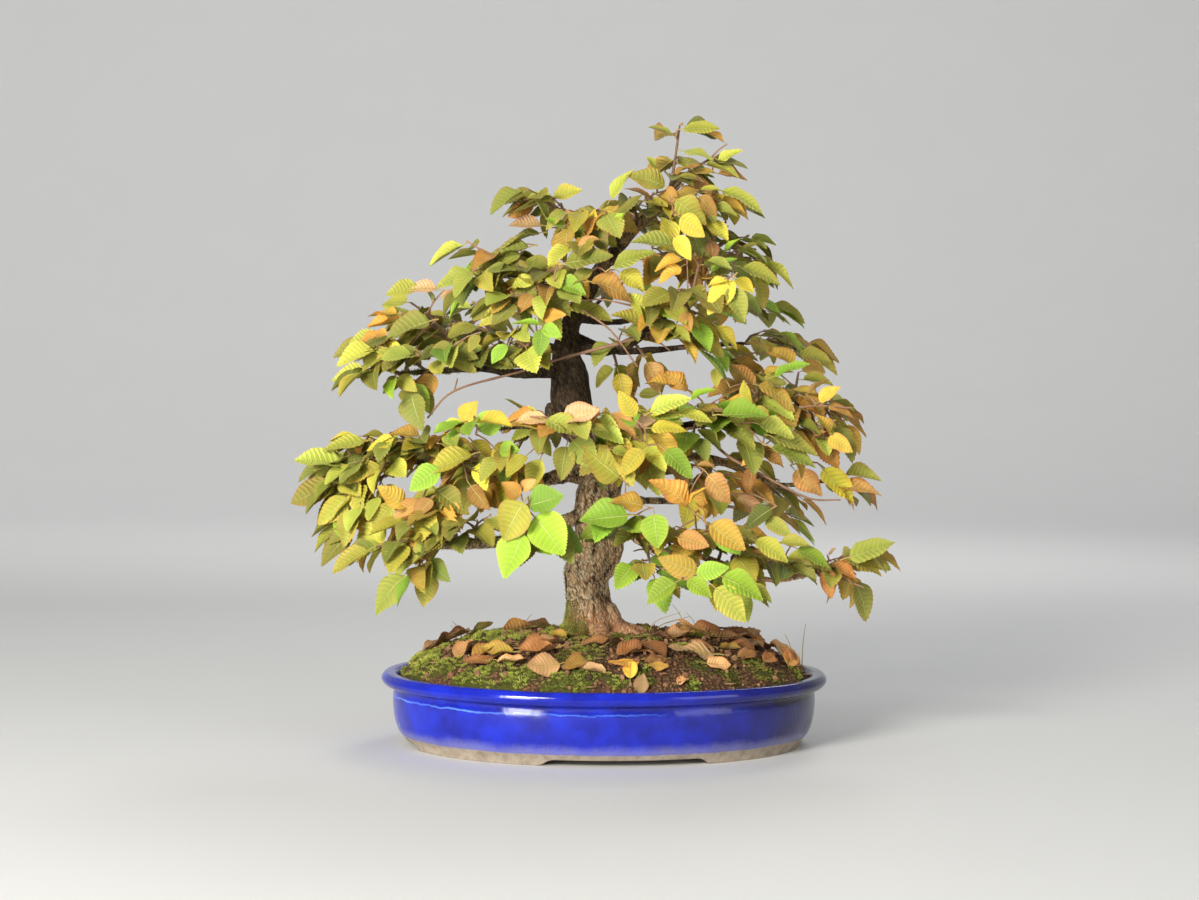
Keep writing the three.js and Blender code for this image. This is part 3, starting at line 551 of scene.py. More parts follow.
def ovals(radii, turns):
    x = np.outer(radii, np.cos(turnAngles(turns)))
    return x, np.outer(radii, np.sin(turnAngles(turns))) * flatness


def footLift(x, y):  # the opening between two feet
    front = smoothStep(0, pot["footEase"], pot["frontOpening"] - np.abs(x))
    end = smoothStep(0, pot["footEase"], pot["endOpening"] - np.abs(y))
    return pot["footReach"] * np.maximum(front, end)


def makePot(finish):
    outline = roundedOutline(potProfile)
    reach, height = outline[1:-1].T
    x, y = ovals(reach, pot["turns"])
    wobble = pot["wobble"] * lumps(flat(x, y), 60, 3) * smoothStep(4, 20, height)[:, None]
    isUnder = height < pot["floorUnderside"] + 0.1
    z = np.maximum(height[:, None] + wobble, isUnder[:, None] * footLift(x, y))
    bend = np.abs(np.gradient(np.unwrap(np.arctan2(np.gradient(height), np.gradient(reach)))))
    sharp = smoothStep(0.15, 0.4, bend) * (height > pot["lipFoot"] + 1) * (reach > rimRadius - 5)
    inside = smoothStep(rimRadius - 8.4, rimRadius - 10.5, reach) * (height > 20)
    shape = Shape(potSpot=3)
    marks = [np.broadcast_to(values[:, None], x.shape) for values in (sharp, inside)]
    addRings(shape, x, y, z, (outline[0][1], outline[-1][1]), "potSpot", marks)
    piece = shape.piece("glazed_pot", [finish], "glaze", ["pot"], pot["crease"])
    for side in (-1, 1):
        drillDrain(piece, side)


def drillDrain(piece, side):
    spot = np.array((side * pot["drainSpacing"] / 2, 0, 0))
    below, above = pot["drillReach"]
    line = [spot + upward * height for height in (below, pot["floorTop"] + above)]
    cutter = Shape()
    cutter.add(*tube(line, [pot["drain"] / 2] * 2, pot["drillSides"]))
    drill = cutter.piece("drain_cutter", [], "glaze")
    cut = piece.modifiers.new("drain", "BOOLEAN")
    cut.operation, cut.object, cut.solver = "DIFFERENCE", drill, "EXACT"
    applyModifiers(piece)
    bpy.data.objects.remove(drill)


def applyModifiers(piece):
    graph = bpy.context.evaluated_depsgraph_get()
    mesh = bpy.data.meshes.new_from_object(piece.evaluated_get(graph))
    piece.modifiers.clear()
    piece.data = mesh


# Soil: domed, flat-topped, crumbly, with mossy patches

ground = {
    "edge": rimRadius - 11.5, "rise": 28, "power": 4.4, "rings": 110, "turns": 260, "gap": 0.3,
    "wall": [(12.5, 20), (16, 12.5), (24, pot["floorTop"] + 0.3)],  # down inside the pot: inset, height
    "crumbs": 1700, "crumbSize": (0.8, 2.5), "flakes": 0.12, "crumbSeed": 31,
    "tries": 4, "within": 0.985,
    "crumbShades": [(136, 98, 68), (104, 72, 52), (168, 130, 94), (74, 56, 42), (150, 112, 78),
                    (140, 94, 68), (186, 148, 108)],  # the last one is for scraps of leaf
    # mossy patches: x, y, reach along x and y, strength, and yellow-green share
    "patches": [
        (-126, -22, 14, 26, 1.0, 0.9), (-112, -42, 14, 12, 0.9, 0.6), (-116, 14, 14, 26, 0.8, 0.5),
        (-77, 8, 22, 20, 1.0, 0.75), (-70, -19, 16, 10, 0.9, 0.9), (-50, -14, 22, 16, 0.8, 0.45),
        (-92, -69, 20, 9, 0.9, 0.6), (-72, -83, 20, 7, 1.0, 0.7), (-30, -94, 26, 7, 0.7, 0.5),
        (-24, -70, 20, 16, 0.55, 0.2), (-10, -40, 26, 20, 0.6, 0.15), (14, -30, 18, 20, 0.55, 0.1),
        (-22, 14, 20, 22, 0.9, 0.3), (10, -90, 7, 5, 1.0, 0.8), (-5, -98, 10, 4, 0.8, 0.6),
        (15, -96, 7, 4, 0.8, 0.7), (42, -95, 5, 4, 1.0, 0.95), (62, -76, 22, 12, 0.65, -0.1),
        (92, -62, 20, 12, 0.7, -0.05), (40, -54, 6, 7, 0.8, 0.5), (62, -10, 9, 9, 0.8, 0.3),
        (124, -38, 9, 12, 0.6, 0.4), (-60, 62, 34, 22, 0.9, 0.5), (-10, 80, 30, 14, 0.8, 0.4),
        (44, 62, 30, 20, 0.7, 0.3), (96, 46, 22, 18, 0.7, 0.4), (30, 24, 14, 14, 0.8, 0.2)],
}


def edgeShare(x, y):  # 0 at the pot's middle and 1 at the soil's edge
    return np.hypot(x / ground["edge"], y / ground["edge"] / flatness)


def moundHeight(x, y):
    share = np.minimum(edgeShare(x, y), 1)
    dome = ground["rise"] * (1 - share ** ground["power"])
    low = 0.9 * np.sin(x / 7.1 + y / 13) * np.cos(y / 6.3 - x / 17) * (1 - share**8)
    return pot["soilEdge"] + dome + low


def mossShare(x, y):  # how mossy, and how yellow the moss is
    mossy, yellow = np.zeros_like(x), np.zeros_like(x)
    ragged = lumps(flat(x, y), 9, 21) * 0.35 + lumps(flat(x, y), 4, 22) * 0.2
    for px, py, rx, ry, strength, tone in ground["patches"]:
        distance = np.hypot((x - px) / rx, (y - py) / ry) + ragged
        here = strength * smoothStep(1.25, 0.55, distance)
        yellow = np.where(here > mossy, tone, yellow)
        mossy = np.maximum(mossy, here)
    return mossy, yellow


def soilTop(x, y):
    share = np.minimum(edgeShare(x, y), 1)
    calm = 1 - share**14
    spot = flat(x, y)
    mossy, _ = mossShare(x, y)
    grain = 0.9 * np.abs(lumps(spot, 2.6, 5)) + 0.8 * lumps(spot, 5.5, 6) + 0.45 * lumps(spot, 1.4, 7)
    edging = 3.4 * smoothStep(0.8, 0.93, share) * smoothStep(-95, -120, x)  # the left end brims over
    cushion = mossy * (1.7 + 1.3 * lumps(spot, 6, 8) + edging) * (1 - share**40)
    return moundHeight(x, y) + calm * grain * (1 - 0.5 * mossy) + cushion - 0.4


def makeSoil(finish):
    bottom = pot["floorTop"] + ground["gap"]
    shares = np.sin(np.linspace(0, math.pi / 2, ground["rings"] + 1)[1:]) ** 0.85
    radii = shares * (rimRadius - 11 - ground["gap"] / flatness)
    wallRadii = [rimRadius - inset - ground["gap"] / flatness for inset, _ in ground["wall"]]
    x, y = ovals(np.append(radii, wallRadii), ground["turns"])
    z = soilTop(x, y)
    z[len(radii) - 1] = np.minimum(z[len(radii) - 1], pot["soilEdge"])
    z[len(radii):] = [[height] for _, height in ground["wall"]]
    shape = Shape(soilSpot=3)
    middle = soilTop(np.zeros(1), np.zeros(1))[0]
    addRings(shape, x, y, z, (middle, bottom), "soilSpot", mossShare(x, y), inward=True)
    shape.piece("domed_soil", [finish], "soil", ["soil"], layout["allSoft"])


def scattered(count, seed, wanted):  # even random places on the mound, kept where wanted says so
    random = np.random.RandomState(seed)
    tries = count * ground["tries"]
    x = random.uniform(-1, 1, tries) * (ground["edge"] - 2)
    y = random.uniform(-1, 1, tries) * (ground["edge"] - 2) * flatness
    keep = (edgeShare(x, y) < ground["within"]) & (random.uniform(0, 1, tries) < wanted(x, y))
    return x[keep][:count], y[keep][:count], random


def makeCrumbs(finish):
    x, y, random = scattered(ground["crumbs"], ground["crumbSeed"],
                             lambda x, y: 1 - 0.75 * mossShare(x, y)[0])
    golden = (1 + 5**0.5) / 2
    corners = np.array([np.roll((across, up * golden, 0), shift)
                        for shift in range(3) for up in (1, -1) for across in (-1, 1)]) / 1.9
    faces = np.array([(0, 11, 5), (0, 5, 1), (0, 1, 7), (0, 7, 10), (0, 10, 11), (1, 5, 9), (5, 11, 4),
                      (11, 10, 2), (10, 7, 6), (7, 1, 8), (3, 9, 4), (3, 4, 2), (3, 2, 6), (3, 6, 8),
                      (3, 8, 9), (4, 9, 5), (2, 4, 11), (6, 2, 10), (8, 6, 7), (9, 8, 1)])
    shades = np.array([colour(*shade) for shade in ground["crumbShades"]])
    shape = Shape(speckTint=4)
    low, high = ground["crumbSize"]
    for px, py, top in zip(x, y, soilTop(x, y)):
        size = low + (high - low) * random.uniform() ** 2
        stone = corners * size * random.uniform(0.72, 1.25, (12, 3)) * random.uniform(0.7, 1.2, 3)
        shade = shades[random.randint(len(shades) - 1)]
        if random.uniform() < ground["flakes"]:  # a scrap of leaf or bark, lying flat
            stone, shade = stone * (1.9, 1.3, 0.22), shades[-1]
        shape.add(stone + (px, py, top + 0.35 * size), [faces], speckTint=shade)
    shape.piece("soil_crumbs", [finish], "soil", smoothTo=0)


def spikes(feet, ways, heights, widths):  # closed slender points, one for each foot
    count = len(feet)
    helper = np.where(np.abs(ways[:, 2:]) > 0.8, (1.0, 0.1, 0.0), (0.1, 0.0, 1.0))
    side = units(np.cross(ways, helper))
    other = np.cross(ways, side)
    ring = [side, -0.5 * side + 0.866 * other, -0.5 * side - 0.866 * other]
    points = [feet + widths[:, None] * corner for corner in ring] + [feet + ways * heights[:, None]]
    first = np.arange(count)[:, None] * len(points)
    sides = ((0, 1, 3), (1, 2, 3), (2, 0, 3), (1, 0, 2))
    faces = np.concatenate([first + np.array(side) for side in sides])
    return np.stack(points, axis=1).reshape(-1, 3), [faces]


moss = {
    "tufts": 3500, "blades": 7, "height": (1.5, 2.9), "width": 0.5, "lean": (0.7, 1.5), "stray": 0.13,
    "seed": 47, "trunkSeed": 53, "trunkHeight": (0.9, 2.3), "trunkWidth": 0.42, "sunk": 0.2,
    "brown": (124, 110, 50), "green": (132, 148, 46), "yellow": (192, 206, 62), "tip": (226, 230, 116),
}


def mossTints(random, count, yellow, spots):  # painted shade: darker in the cushions' hollows and at the foot of each blade
    shades = [np.array(colour(*moss[name])) for name in ("brown", "green", "yellow", "tip")]
    pick = np.clip(yellow * 1.5 + random.uniform(-0.55, 0.75, count), 0, 2)[:, None]
    foot = np.where(pick < 1, shades[0] + (shades[1] - shades[0]) * pick,
                    shades[1] + (shades[2] - shades[1]) * (pick - 1))
    head = foot + (shades[3] - foot) * np.clip(0.3 + 0.5 * yellow, 0, 1)[:, None]
    # painted shade: the low parts of the cushions, from the same lumps as their heights, are darker
    hollowShade = 0.5 + 0.6 * smoothStep(-0.7, 0.5, lumps(spots, 6, 8)) + random.uniform(-0.15, 0.15, count)
    hollowShade = np.stack([hollowShade, hollowShade, hollowShade * 0.9, np.ones(count)], axis=1)
    # painted shade: the three foot points of each blade take three tenths of its tint
    return np.stack([foot * hollowShade * (0.3, 0.3, 0.3, 1)] * 3 + [head * hollowShade], axis=1)


def addBlades(shape, feet, ways, heights, width, tints):
    points, faces = spikes(feet, ways, heights, np.full(len(feet), width))
    shape.add(points, faces, speckTint=tints.reshape(-1, 4))


def makeMoss(finish):
    x, y, random = scattered(moss["tufts"], moss["seed"],
                             lambda x, y: np.maximum(mossShare(x, y)[0] ** 1.2, moss["stray"]))
    count, blades = len(x), moss["blades"]
    mossy, yellow = mossShare(x, y)
    yellow = yellow - 0.5 * smoothStep(0.3, 0.05, mossy)  # stray tufts on bare soil are brown
    low, high = moss["height"]
    heights = (low + (high - low) * random.uniform(size=count) ** 1.4) * (0.8 + 0.4 * yellow)
    heights = heights[:, None] * random.uniform(0.75, 1.15, (count, blades))
    turns = (np.arange(blades) / (blades - 1) + random.uniform(size=(count, 1))) * 2 * math.pi
    lean = np.where(np.arange(blades) == 0, 0.15, random.uniform(*moss["lean"], (count, blades)))
    ways = np.stack([np.cos(turns) * lean, np.sin(turns) * lean, np.ones_like(lean)], axis=2)
    ways = units(ways.reshape(-1, 3))
    feet = np.repeat(np.stack([x, y, soilTop(x, y) - moss["sunk"]], axis=1), blades, axis=0)
    tints = np.repeat(mossTints(random, count, yellow, flat(x, y)), blades, axis=0)
    shape = Shape(speckTint=4)
    addBlades(shape, feet + ways * moss["sunk"], ways, heights.ravel(), moss["width"], tints)
    shape.piece("moss_cushions", [finish], "soil", smoothTo=0)


# Wood: trunk, branches and roots grown together

trunkRows = [  # x, y, z and diameter from inside the soil to the leader
    (-3, 13, 54, 42), (-5, 13, 66, 40), (-8, 13, 76, 35), (-9, 12, 91, 33), (-8, 10, 112, 36),
    (-6, 8, 132, 36), (-6, 6, 149, 34), (-7, 4, 164, 29), (-2, 2, 180, 26), (-1, 2, 191, 23),
    (-10, 5, 202, 23), (-21, 10, 216, 26), (-24, 11, 230, 27), (-25, 12, 246, 25), (-28, 10, 262, 18),
    (-26, 8, 277, 13.5), (-22, 5, 289, 12), (-15, 2, 301, 11), (-6, -3, 319, 10), (5, -7, 333, 9),
    (15, -10, 345, 8), (25, -14, 354, 7), (36, -15, 361, 5.5),
]
branchRows = {  # radius at the trunk, radius at the end, and the points passed through
    "leftLowFront": (6.5, 2.6, [(-13, 2, 155), (-29, -10, 149), (-48, -20, 143), (-72, -28, 137),
        (-95, -33, 135), (-117, -36, 135)]),
    "leftLow": (6.5, 2, [(-3, 0, 188), (-15, 6, 185), (-33, 9, 179), (-52, 7, 173), (-70, 6, 171),
        (-88, 6, 179), (-107, 7, 186), (-129, 8, 187)]),
    "leftLowBack": (5, 1.6, [(-7, 9, 176), (-20, 30, 176), (-38, 49, 173), (-60, 64, 178),
        (-84, 74, 183)]),
    "leftHigh": (6, 1.6, [(-28, 10, 252), (-43, 2, 248), (-64, -5, 247), (-88, -10, 250),
        (-114, -10, 248), (-140, -11, 246)]),
    "leftHighBack": (4, 1.4, [(-26, 14, 262), (-41, 32, 267), (-64, 50, 274), (-88, 62, 278)]),
    "apexLeft": (3.8, 1.3, [(-17, 2, 298), (-31, -2, 302), (-47, -8, 307), (-63, -11, 311),
        (-79, -13, 312)]),
    "apexLeftTop": (3, 1.3, [(7, -7, 336), (-9, -11, 344), (-24, -11, 352), (-38, -9, 357)]),
    "apexRight": (3.2, 1.3, [(-3, -2, 322), (20, 3, 326), (45, 8, 329), (68, 11, 331)]),
    "rightHighFront": (4.6, 1.6, [(-24, 9, 267), (-8, -13, 262), (8, -31, 266), (20, -45, 277),
        (34, -57, 289), (44, -65, 298)]),
    "rightHigh": (4.6, 1.6, [(-23, 11, 271), (3, 16, 264), (31, 22, 264), (67, 29, 268),
        (100, 34, 270)]),
    "rightHighBack": (3.6, 1.4, [(-22, 9, 285), (6, 30, 283), (37, 46, 288), (70, 54, 291)]),
    "rightMid": (5.5, 1.6, [(-5, 5, 199), (12, -8, 205), (32, -19, 210), (57, -28, 215), (86, -34, 218),
        (112, -38, 222), (130, -40, 229)]),
    "frontMid": (2.4, 1.2, [(26, -16, 208), (6, -35, 212), (-16, -50, 213), (-40, -57, 213),
        (-66, -59, 212), (-91, -60, 210)]),
    "rightLow": (6, 1.6, [(3, 2, 184), (27, 8, 187), (55, 13, 192), (79, 13, 189), (99, 8, 181),
        (118, 2, 174), (136, -5, 175)]),
    "rightLowFront": (4.5, 1.4, [(3, 0, 149), (14, -16, 141), (31, -31, 130), (53, -44, 129),
        (75, -53, 122), (101, -59, 114), (127, -60, 119), (144, -61, 127)]),
    "rightLowBack": (4.5, 1.5, [(4, 9, 162), (32, 32, 161), (66, 50, 159), (100, 61, 155)]),
    "backMid": (4, 1.4, [(-6, 13, 182), (0, 34, 192), (8, 54, 201), (16, 67, 208)]),
    "backHigh": (3.2, 1.4, [(-24, 11, 277), (-12, 31, 288), (2, 50, 300)]),
    "oldCut": (8, 5.5, [(-22, 9, 222), (-33, 4, 221), (-41, 1, 223)]),
}
trunkLine = [np.array(row[:3], float) for row in trunkRows]
branchLines = {name: [np.array(spot, float) for spot in row[2]] for name, row in branchRows.items()}
branchLines["trunk"] = trunkLine

trunkSway = [  # finer bends and waists of the lower trunk: height, shift along x, change in diameter
    (60, 0, 0), (76, -0.7, 0.8), (91, -1, -3), (98, -2.6, -5.6), (105, -4.2, -6.6), (112, -4.5, -5.6),
    (119, -2.8, -3.2), (126, -0.3, -2.1), (132, 0.8, -3), (138, 1, -4.5), (149, -1.5, -4), (164, 0, 0),
]
wood = {
    "voxel": 1.1, "trunkSides": 48, "branchSides": 14, "roots": 8, "rootDraw": 4241,
    "rootRadius": (8, 2.6), "collar": 0.22, "barkDepth": 0.55, "furrowDepth": 0.9,
    "trunkSteps": 4, "branchSteps": 5, "ease": 0.5, "easings": 4,
}


def trunkRadius(place, angle):
    spot = place * (len(trunkRows) - 1)
    n = min(int(spot), len(trunkRows) - 2)
    diameter = trunkRows[n][3] + (trunkRows[n + 1][3] - trunkRows[n][3]) * (spot - n)
    ridges = 1 + 0.05 * np.sin(3 * angle + place * 9) + 0.03 * np.sin(5 * angle - place * 14)
    return diameter / 2 * ridges


def rootLines():
    draw = drawer(wood["rootDraw"])
    foot = np.array((trunkRows[1][0], trunkRows[1][1], 0.0))
    lines = []
    for n in range(wood["roots"]):
        heading = (n + 0.4 * draw()) / wood["roots"] * 2 * math.pi
        reach = 34 + 12 * draw()
        way = np.array((math.cos(heading), math.sin(heading), 0))
        lines.append([foot + way * out + upward * z
                      for out, z in ((6, 88), (15, 76), (reach * 0.75, 70.5), (reach, 60))])
    return lines


def woodCore():
    core = Shape()
    angles = turnAngles(wood["trunkSides"])
    line = smoothLine(trunkLine, wood["trunkSteps"])
    radii = [trunkRadius(n / (len(line) - 1), angles) for n in range(len(line))]
    heights, shifts, changes = np.array(trunkSway, float).T
    for n, spot in enumerate(line):
        radii[n] = radii[n] + np.interp(spot[2], heights, changes) / 2
        line[n] = spot + (np.interp(spot[2], heights, shifts), 0, 0)
    core.add(*tube(line, radii, wood["trunkSides"]))
    for name, (start, end, _) in branchRows.items():
        line = smoothLine(branchLines[name], wood["branchSteps"])
        places = np.linspace(0, 1, len(line))
        radii = (start + (end - start) * np.sqrt(places)) * (1 + wood["collar"] * np.exp(-places * 14))
        radii *= 1 + 0.07 * np.sin(places * 31 + start) * np.sin(places * 12 + end * 5)
        core.add(*tube(line, radii, wood["branchSides"]))
    start, end = wood["rootRadius"]
    for root in rootLines():
        line = smoothLine(root, wood["branchSteps"])
        radii = [start + (end - start) * n / (len(line) - 1) for n in range(len(line))]
        core.add(*tube(line, radii, wood["branchSides"]))
    return core


def numbersOf(vectors, field):
    values = np.zeros(len(vectors) * 3)
    vectors.foreach_get(field, values)
    return values.reshape(-1, 3)


def surfaceOf(mesh):  # its points in millimetres, and which way it faces there
    spots = numbersOf(mesh.vertices, "co") / layout["metresPerMillimetre"] - layout["potPlace"]
    return spots, numbersOf(mesh.vertex_normals, "vector")


def makeWood(finish):
    piece = woodCore().piece("trunk_wood", [finish], "bark", ["trunk_and_branches"])
    remesh = piece.modifiers.new("grown together", "REMESH")
    remesh.mode, remesh.voxel_size = "VOXEL", wood["voxel"] * layout["metresPerMillimetre"]
    ease = piece.modifiers.new("eased", "SMOOTH")
    ease.factor, ease.iterations = wood["ease"], wood["easings"]
    applyModifiers(piece)
    mesh = piece.data
    spots, normals = surfaceOf(mesh)
    thick = smoothStep(300, 190, spots[:, 2]) * smoothStep(46, 24, np.abs(spots[:, 0] + 10))
    stretched = spots * (1, 1, 0.4)
    furrows = -np.abs(lumps(stretched, 7, 11)) + 0.4
    bark = lumps(stretched, 2.6, 12) + 0.6 * lumps(stretched, 1.4, 13)
    depth = wood["furrowDepth"] * furrows * thick + wood["barkDepth"] * bark * (0.35 + 0.65 * thick)
    moved = spots + normals * depth[:, None] + layout["potPlace"]
    mesh.vertices.foreach_set("co", (moved * layout["metresPerMillimetre"]).ravel())
    mesh.update()
    mesh.polygons.foreach_set("use_smooth", np.ones(len(mesh.polygons), bool))
    return piece


def makeTrunkMoss(finish, woodPiece):
    spots, normals = surfaceOf(woodPiece.data)
    random = np.random.RandomState(moss["trunkSeed"])
    edge = spots[:, 2] + (spots[:, 0] + 11) * 2.2 + lumps(spots, 9, 14) * 24
    keep = (smoothStep(84, 56, edge) > random.uniform(size=len(spots)) * 1.3) & (spots[:, 2] > 66)
    feet, ways = spots[keep], normals[keep] + upward * 0.5
    ways = units(ways + random.normal(0, 0.35, ways.shape))
    heights = random.uniform(*moss["trunkHeight"], len(feet))
    tints = mossTints(random, len(feet), np.full(len(feet), 0.35), feet)
    shape = Shape(speckTint=4)
    addBlades(shape, feet - ways * 0.3, ways, heights, moss["trunkWidth"], tints)
    shape.piece("trunk_moss", [finish], "soil", smoothTo=0)


# Sprays: the same stems, twigs and leaves as the solids, with more leaves between them

sprayRows = [  # name, branch, place along it, colour, and the stems: place, tip, twig reach, fullness
    ("pendant_left", "leftLowFront", 1, "green", [(0, (-142, -49, 105), 14, 0.45)]),
    ("left_front", "leftLowFront", 0.68, "green",
     [(0, (-176, -42, 133), 26, 1), (0.12, (-107, -64, 162), 22, 0.8)]),
    ("front_four", "leftLowFront", 0.4, "bright", [(0, (-63, -86, 142), 16, 0.4)]),
    ("left_tip", "leftLow", 1, "green",
     [(0, (-205, 9, 170), 30, 1), (0.2, (-203, 35, 187), 24, 0.9), (0.15, (-190, -12, 136), 26, 0.9)]),
    ("left_top", "leftLow", 0.8, "yellow",
     [(0, (-178, 41, 206), 26, 1), (0.2, (-130, -12, 212), 26, 0.9)]),
    ("left_inner", "leftLow", 0.5, "orange",
     [(0, (-109, -51, 196), 26, 0.9), (0.1, (-144, -40, 151), 26, 0.9)]),
    ("left_back", "leftLowBack", 1, "green",
     [(0, (-142, 80, 188), 28, 0.9), (0.1, (-62, 86, 199), 24, 0.9)]),
    ("left_high_tip", "leftHigh", 1, "green",
     [(0, (-182, -13, 247), 26, 1), (0.2, (-125, -31, 229), 10, 0.4)]),
    ("left_high_shoulder", "leftHigh", 0.85, "green", [(0, (-173, 10, 272), 28, 1)]),
    ("left_high_front", "leftHigh", 0.65, "green", [(0, (-144, -52, 261), 28, 1)]),
    ("left_high_crown", "leftHigh", 0.6, "green",
     [(0, (-135, 29, 294), 28, 1), (0.5, (-144, 34, 306), 8, 0.3)]),
    ("left_high_inner", "leftHigh", 0.35, "green",
     [(0, (-96, -23, 294), 28, 1), (0.2, (-58, -67, 269), 18, 0.6)]),
    ("left_high_back", "leftHighBack", 1, "green",
     [(0, (-132, 77, 286), 28, 0.9), (0.1, (-58, 90, 300), 26, 0.9)]),
    ("apex_left_tip", "apexLeft", 1, "green",
     [(0, (-98, -17, 314), 24, 1), (0.15, (-74, 6, 339), 26, 1)]),
    ("apex_left_front", "apexLeft", 0.55, "green",
     [(0, (-74, -56, 286), 26, 1), (0.1, (-36, -58, 319), 22, 0.9)]),
    ("crown_left", "apexLeftTop", 1, "green", [(0, (-62, -5, 367), 22, 1)]),
    ("crown_front", "apexLeftTop", 0.5, "orange", [(0, (-31, -50, 359), 20, 1)]),
    ("leader", "trunk", 1, "green", [(0, (46, -14, 433), 8, 0.35), (0.15, (80, -10, 404), 12, 0.5)]),
    ("crown_right", "trunk", 0.96, "yellow", [(0, (100, 2, 368), 18, 1), (0.2, (49, -63, 339), 22, 1)]),
    ("crown_top", "trunk", 0.93, "green", [(0, (4, -19, 379), 18, 1)]),
    ("crown_back", "trunk", 0.88, "green", [(0, (28, 57, 369), 24, 1)]),
    ("apex_right_tip", "apexRight", 1, "green",
     [(0, (114, 18, 319), 24, 1), (0.1, (96, 57, 346), 24, 1)]),
    ("apex_right_front", "apexRight", 0.5, "orange", [(0, (44, -57, 320), 22, 0.9)]),
    ("right_high_front_tip", "rightHighFront", 1, "yellow",
     [(0, (69, -92, 295), 22, 0.9), (0.1, (18, -75, 304), 18, 0.7)]),
    ("right_high_front_low", "rightHighFront", 0.6, "orange", [(0, (46, -81, 273), 18, 0.6)]),
    ("right_high_tip", "rightHigh", 1, "yellow", [(0, (159, 36, 263), 26, 1)]),
    ("right_high_middle", "rightHigh", 0.6, "yellow", [(0, (109, -5, 248), 24, 0.7)]),
    ("right_high_back", "rightHighBack", 1, "green",
     [(0, (138, 67, 296), 28, 0.9), (0.1, (70, 88, 303), 25, 0.8)]),
    ("right_mid_tip", "rightMid", 1, "orange",
     [(0, (154, -46, 227), 18, 0.8), (0.4, (149, -55, 207), 14, 0.6)]),
    ("right_mid_top", "rightMid", 0.7, "yellow", [(0, (127, -18, 250), 26, 1)]),
    ("right_mid_front", "rightMid", 0.5, "bright",
     [(0, (76, -81, 226), 26, 1), (0.15, (43, -69, 236), 22, 0.8)]),
    ("cross_tip", "frontMid", 1, "bright", [(0, (-108, -66, 222), 10, 0.4)]),
    ("cross_middle", "frontMid", 0.55, "orange", [(0, (-52, -80, 222), 16, 0.7)]),
    ("front_centre", "frontMid", 0.2, "yellow", [(0, (-1, -85, 193), 18, 0.8)]),
    ("right_low_tip", "rightLow", 1, "orange", [(0, (184, -18, 174), 20, 0.8)]),
    ("right_low_back", "rightLow", 0.65, "orange", [(0, (142, 41, 155), 26, 0.7)]),
    ("right_low_front", "rightLow", 0.45, "orange", [(0, (63, -69, 164), 26, 1)]),
    ("right_foot_tip", "rightLowFront", 1, "orange",
     [(0, (180, -68, 137), 12, 0.5), (0.1, (161, -59, 106), 12, 0.5)]),
    ("right_foot_top", "rightLowFront", 0.75, "green", [(0, (123, -82, 139), 18, 0.9)]),
    ("right_foot_front", "rightLowFront", 0.45, "bright", [(0, (75, -106, 105), 16, 0.6)]),
    ("right_foot_inner", "rightLowFront", 0.22, "bright",
     [(0, (16, -96, 115), 14, 0.6), (0.15, (-19, -88, 160), 12, 0.5)]),
    ("right_foot_middle", "rightLowFront", 0.4, "yellow", [(0, (46, -91, 155), 24, 1)]),
    ("right_back", "rightLowBack", 1, "yellow",
     [(0, (154, 72, 144), 28, 0.9), (0.1, (82, 88, 172), 25, 0.8)]),
    ("back", "backMid", 1, "green", [(0, (26, 94, 214), 28, 1), (0.1, (-24, 92, 220), 24, 0.8)]),
    ("back_high", "backHigh", 1, "green", [(0, (12, 90, 317), 28, 1)]),
]

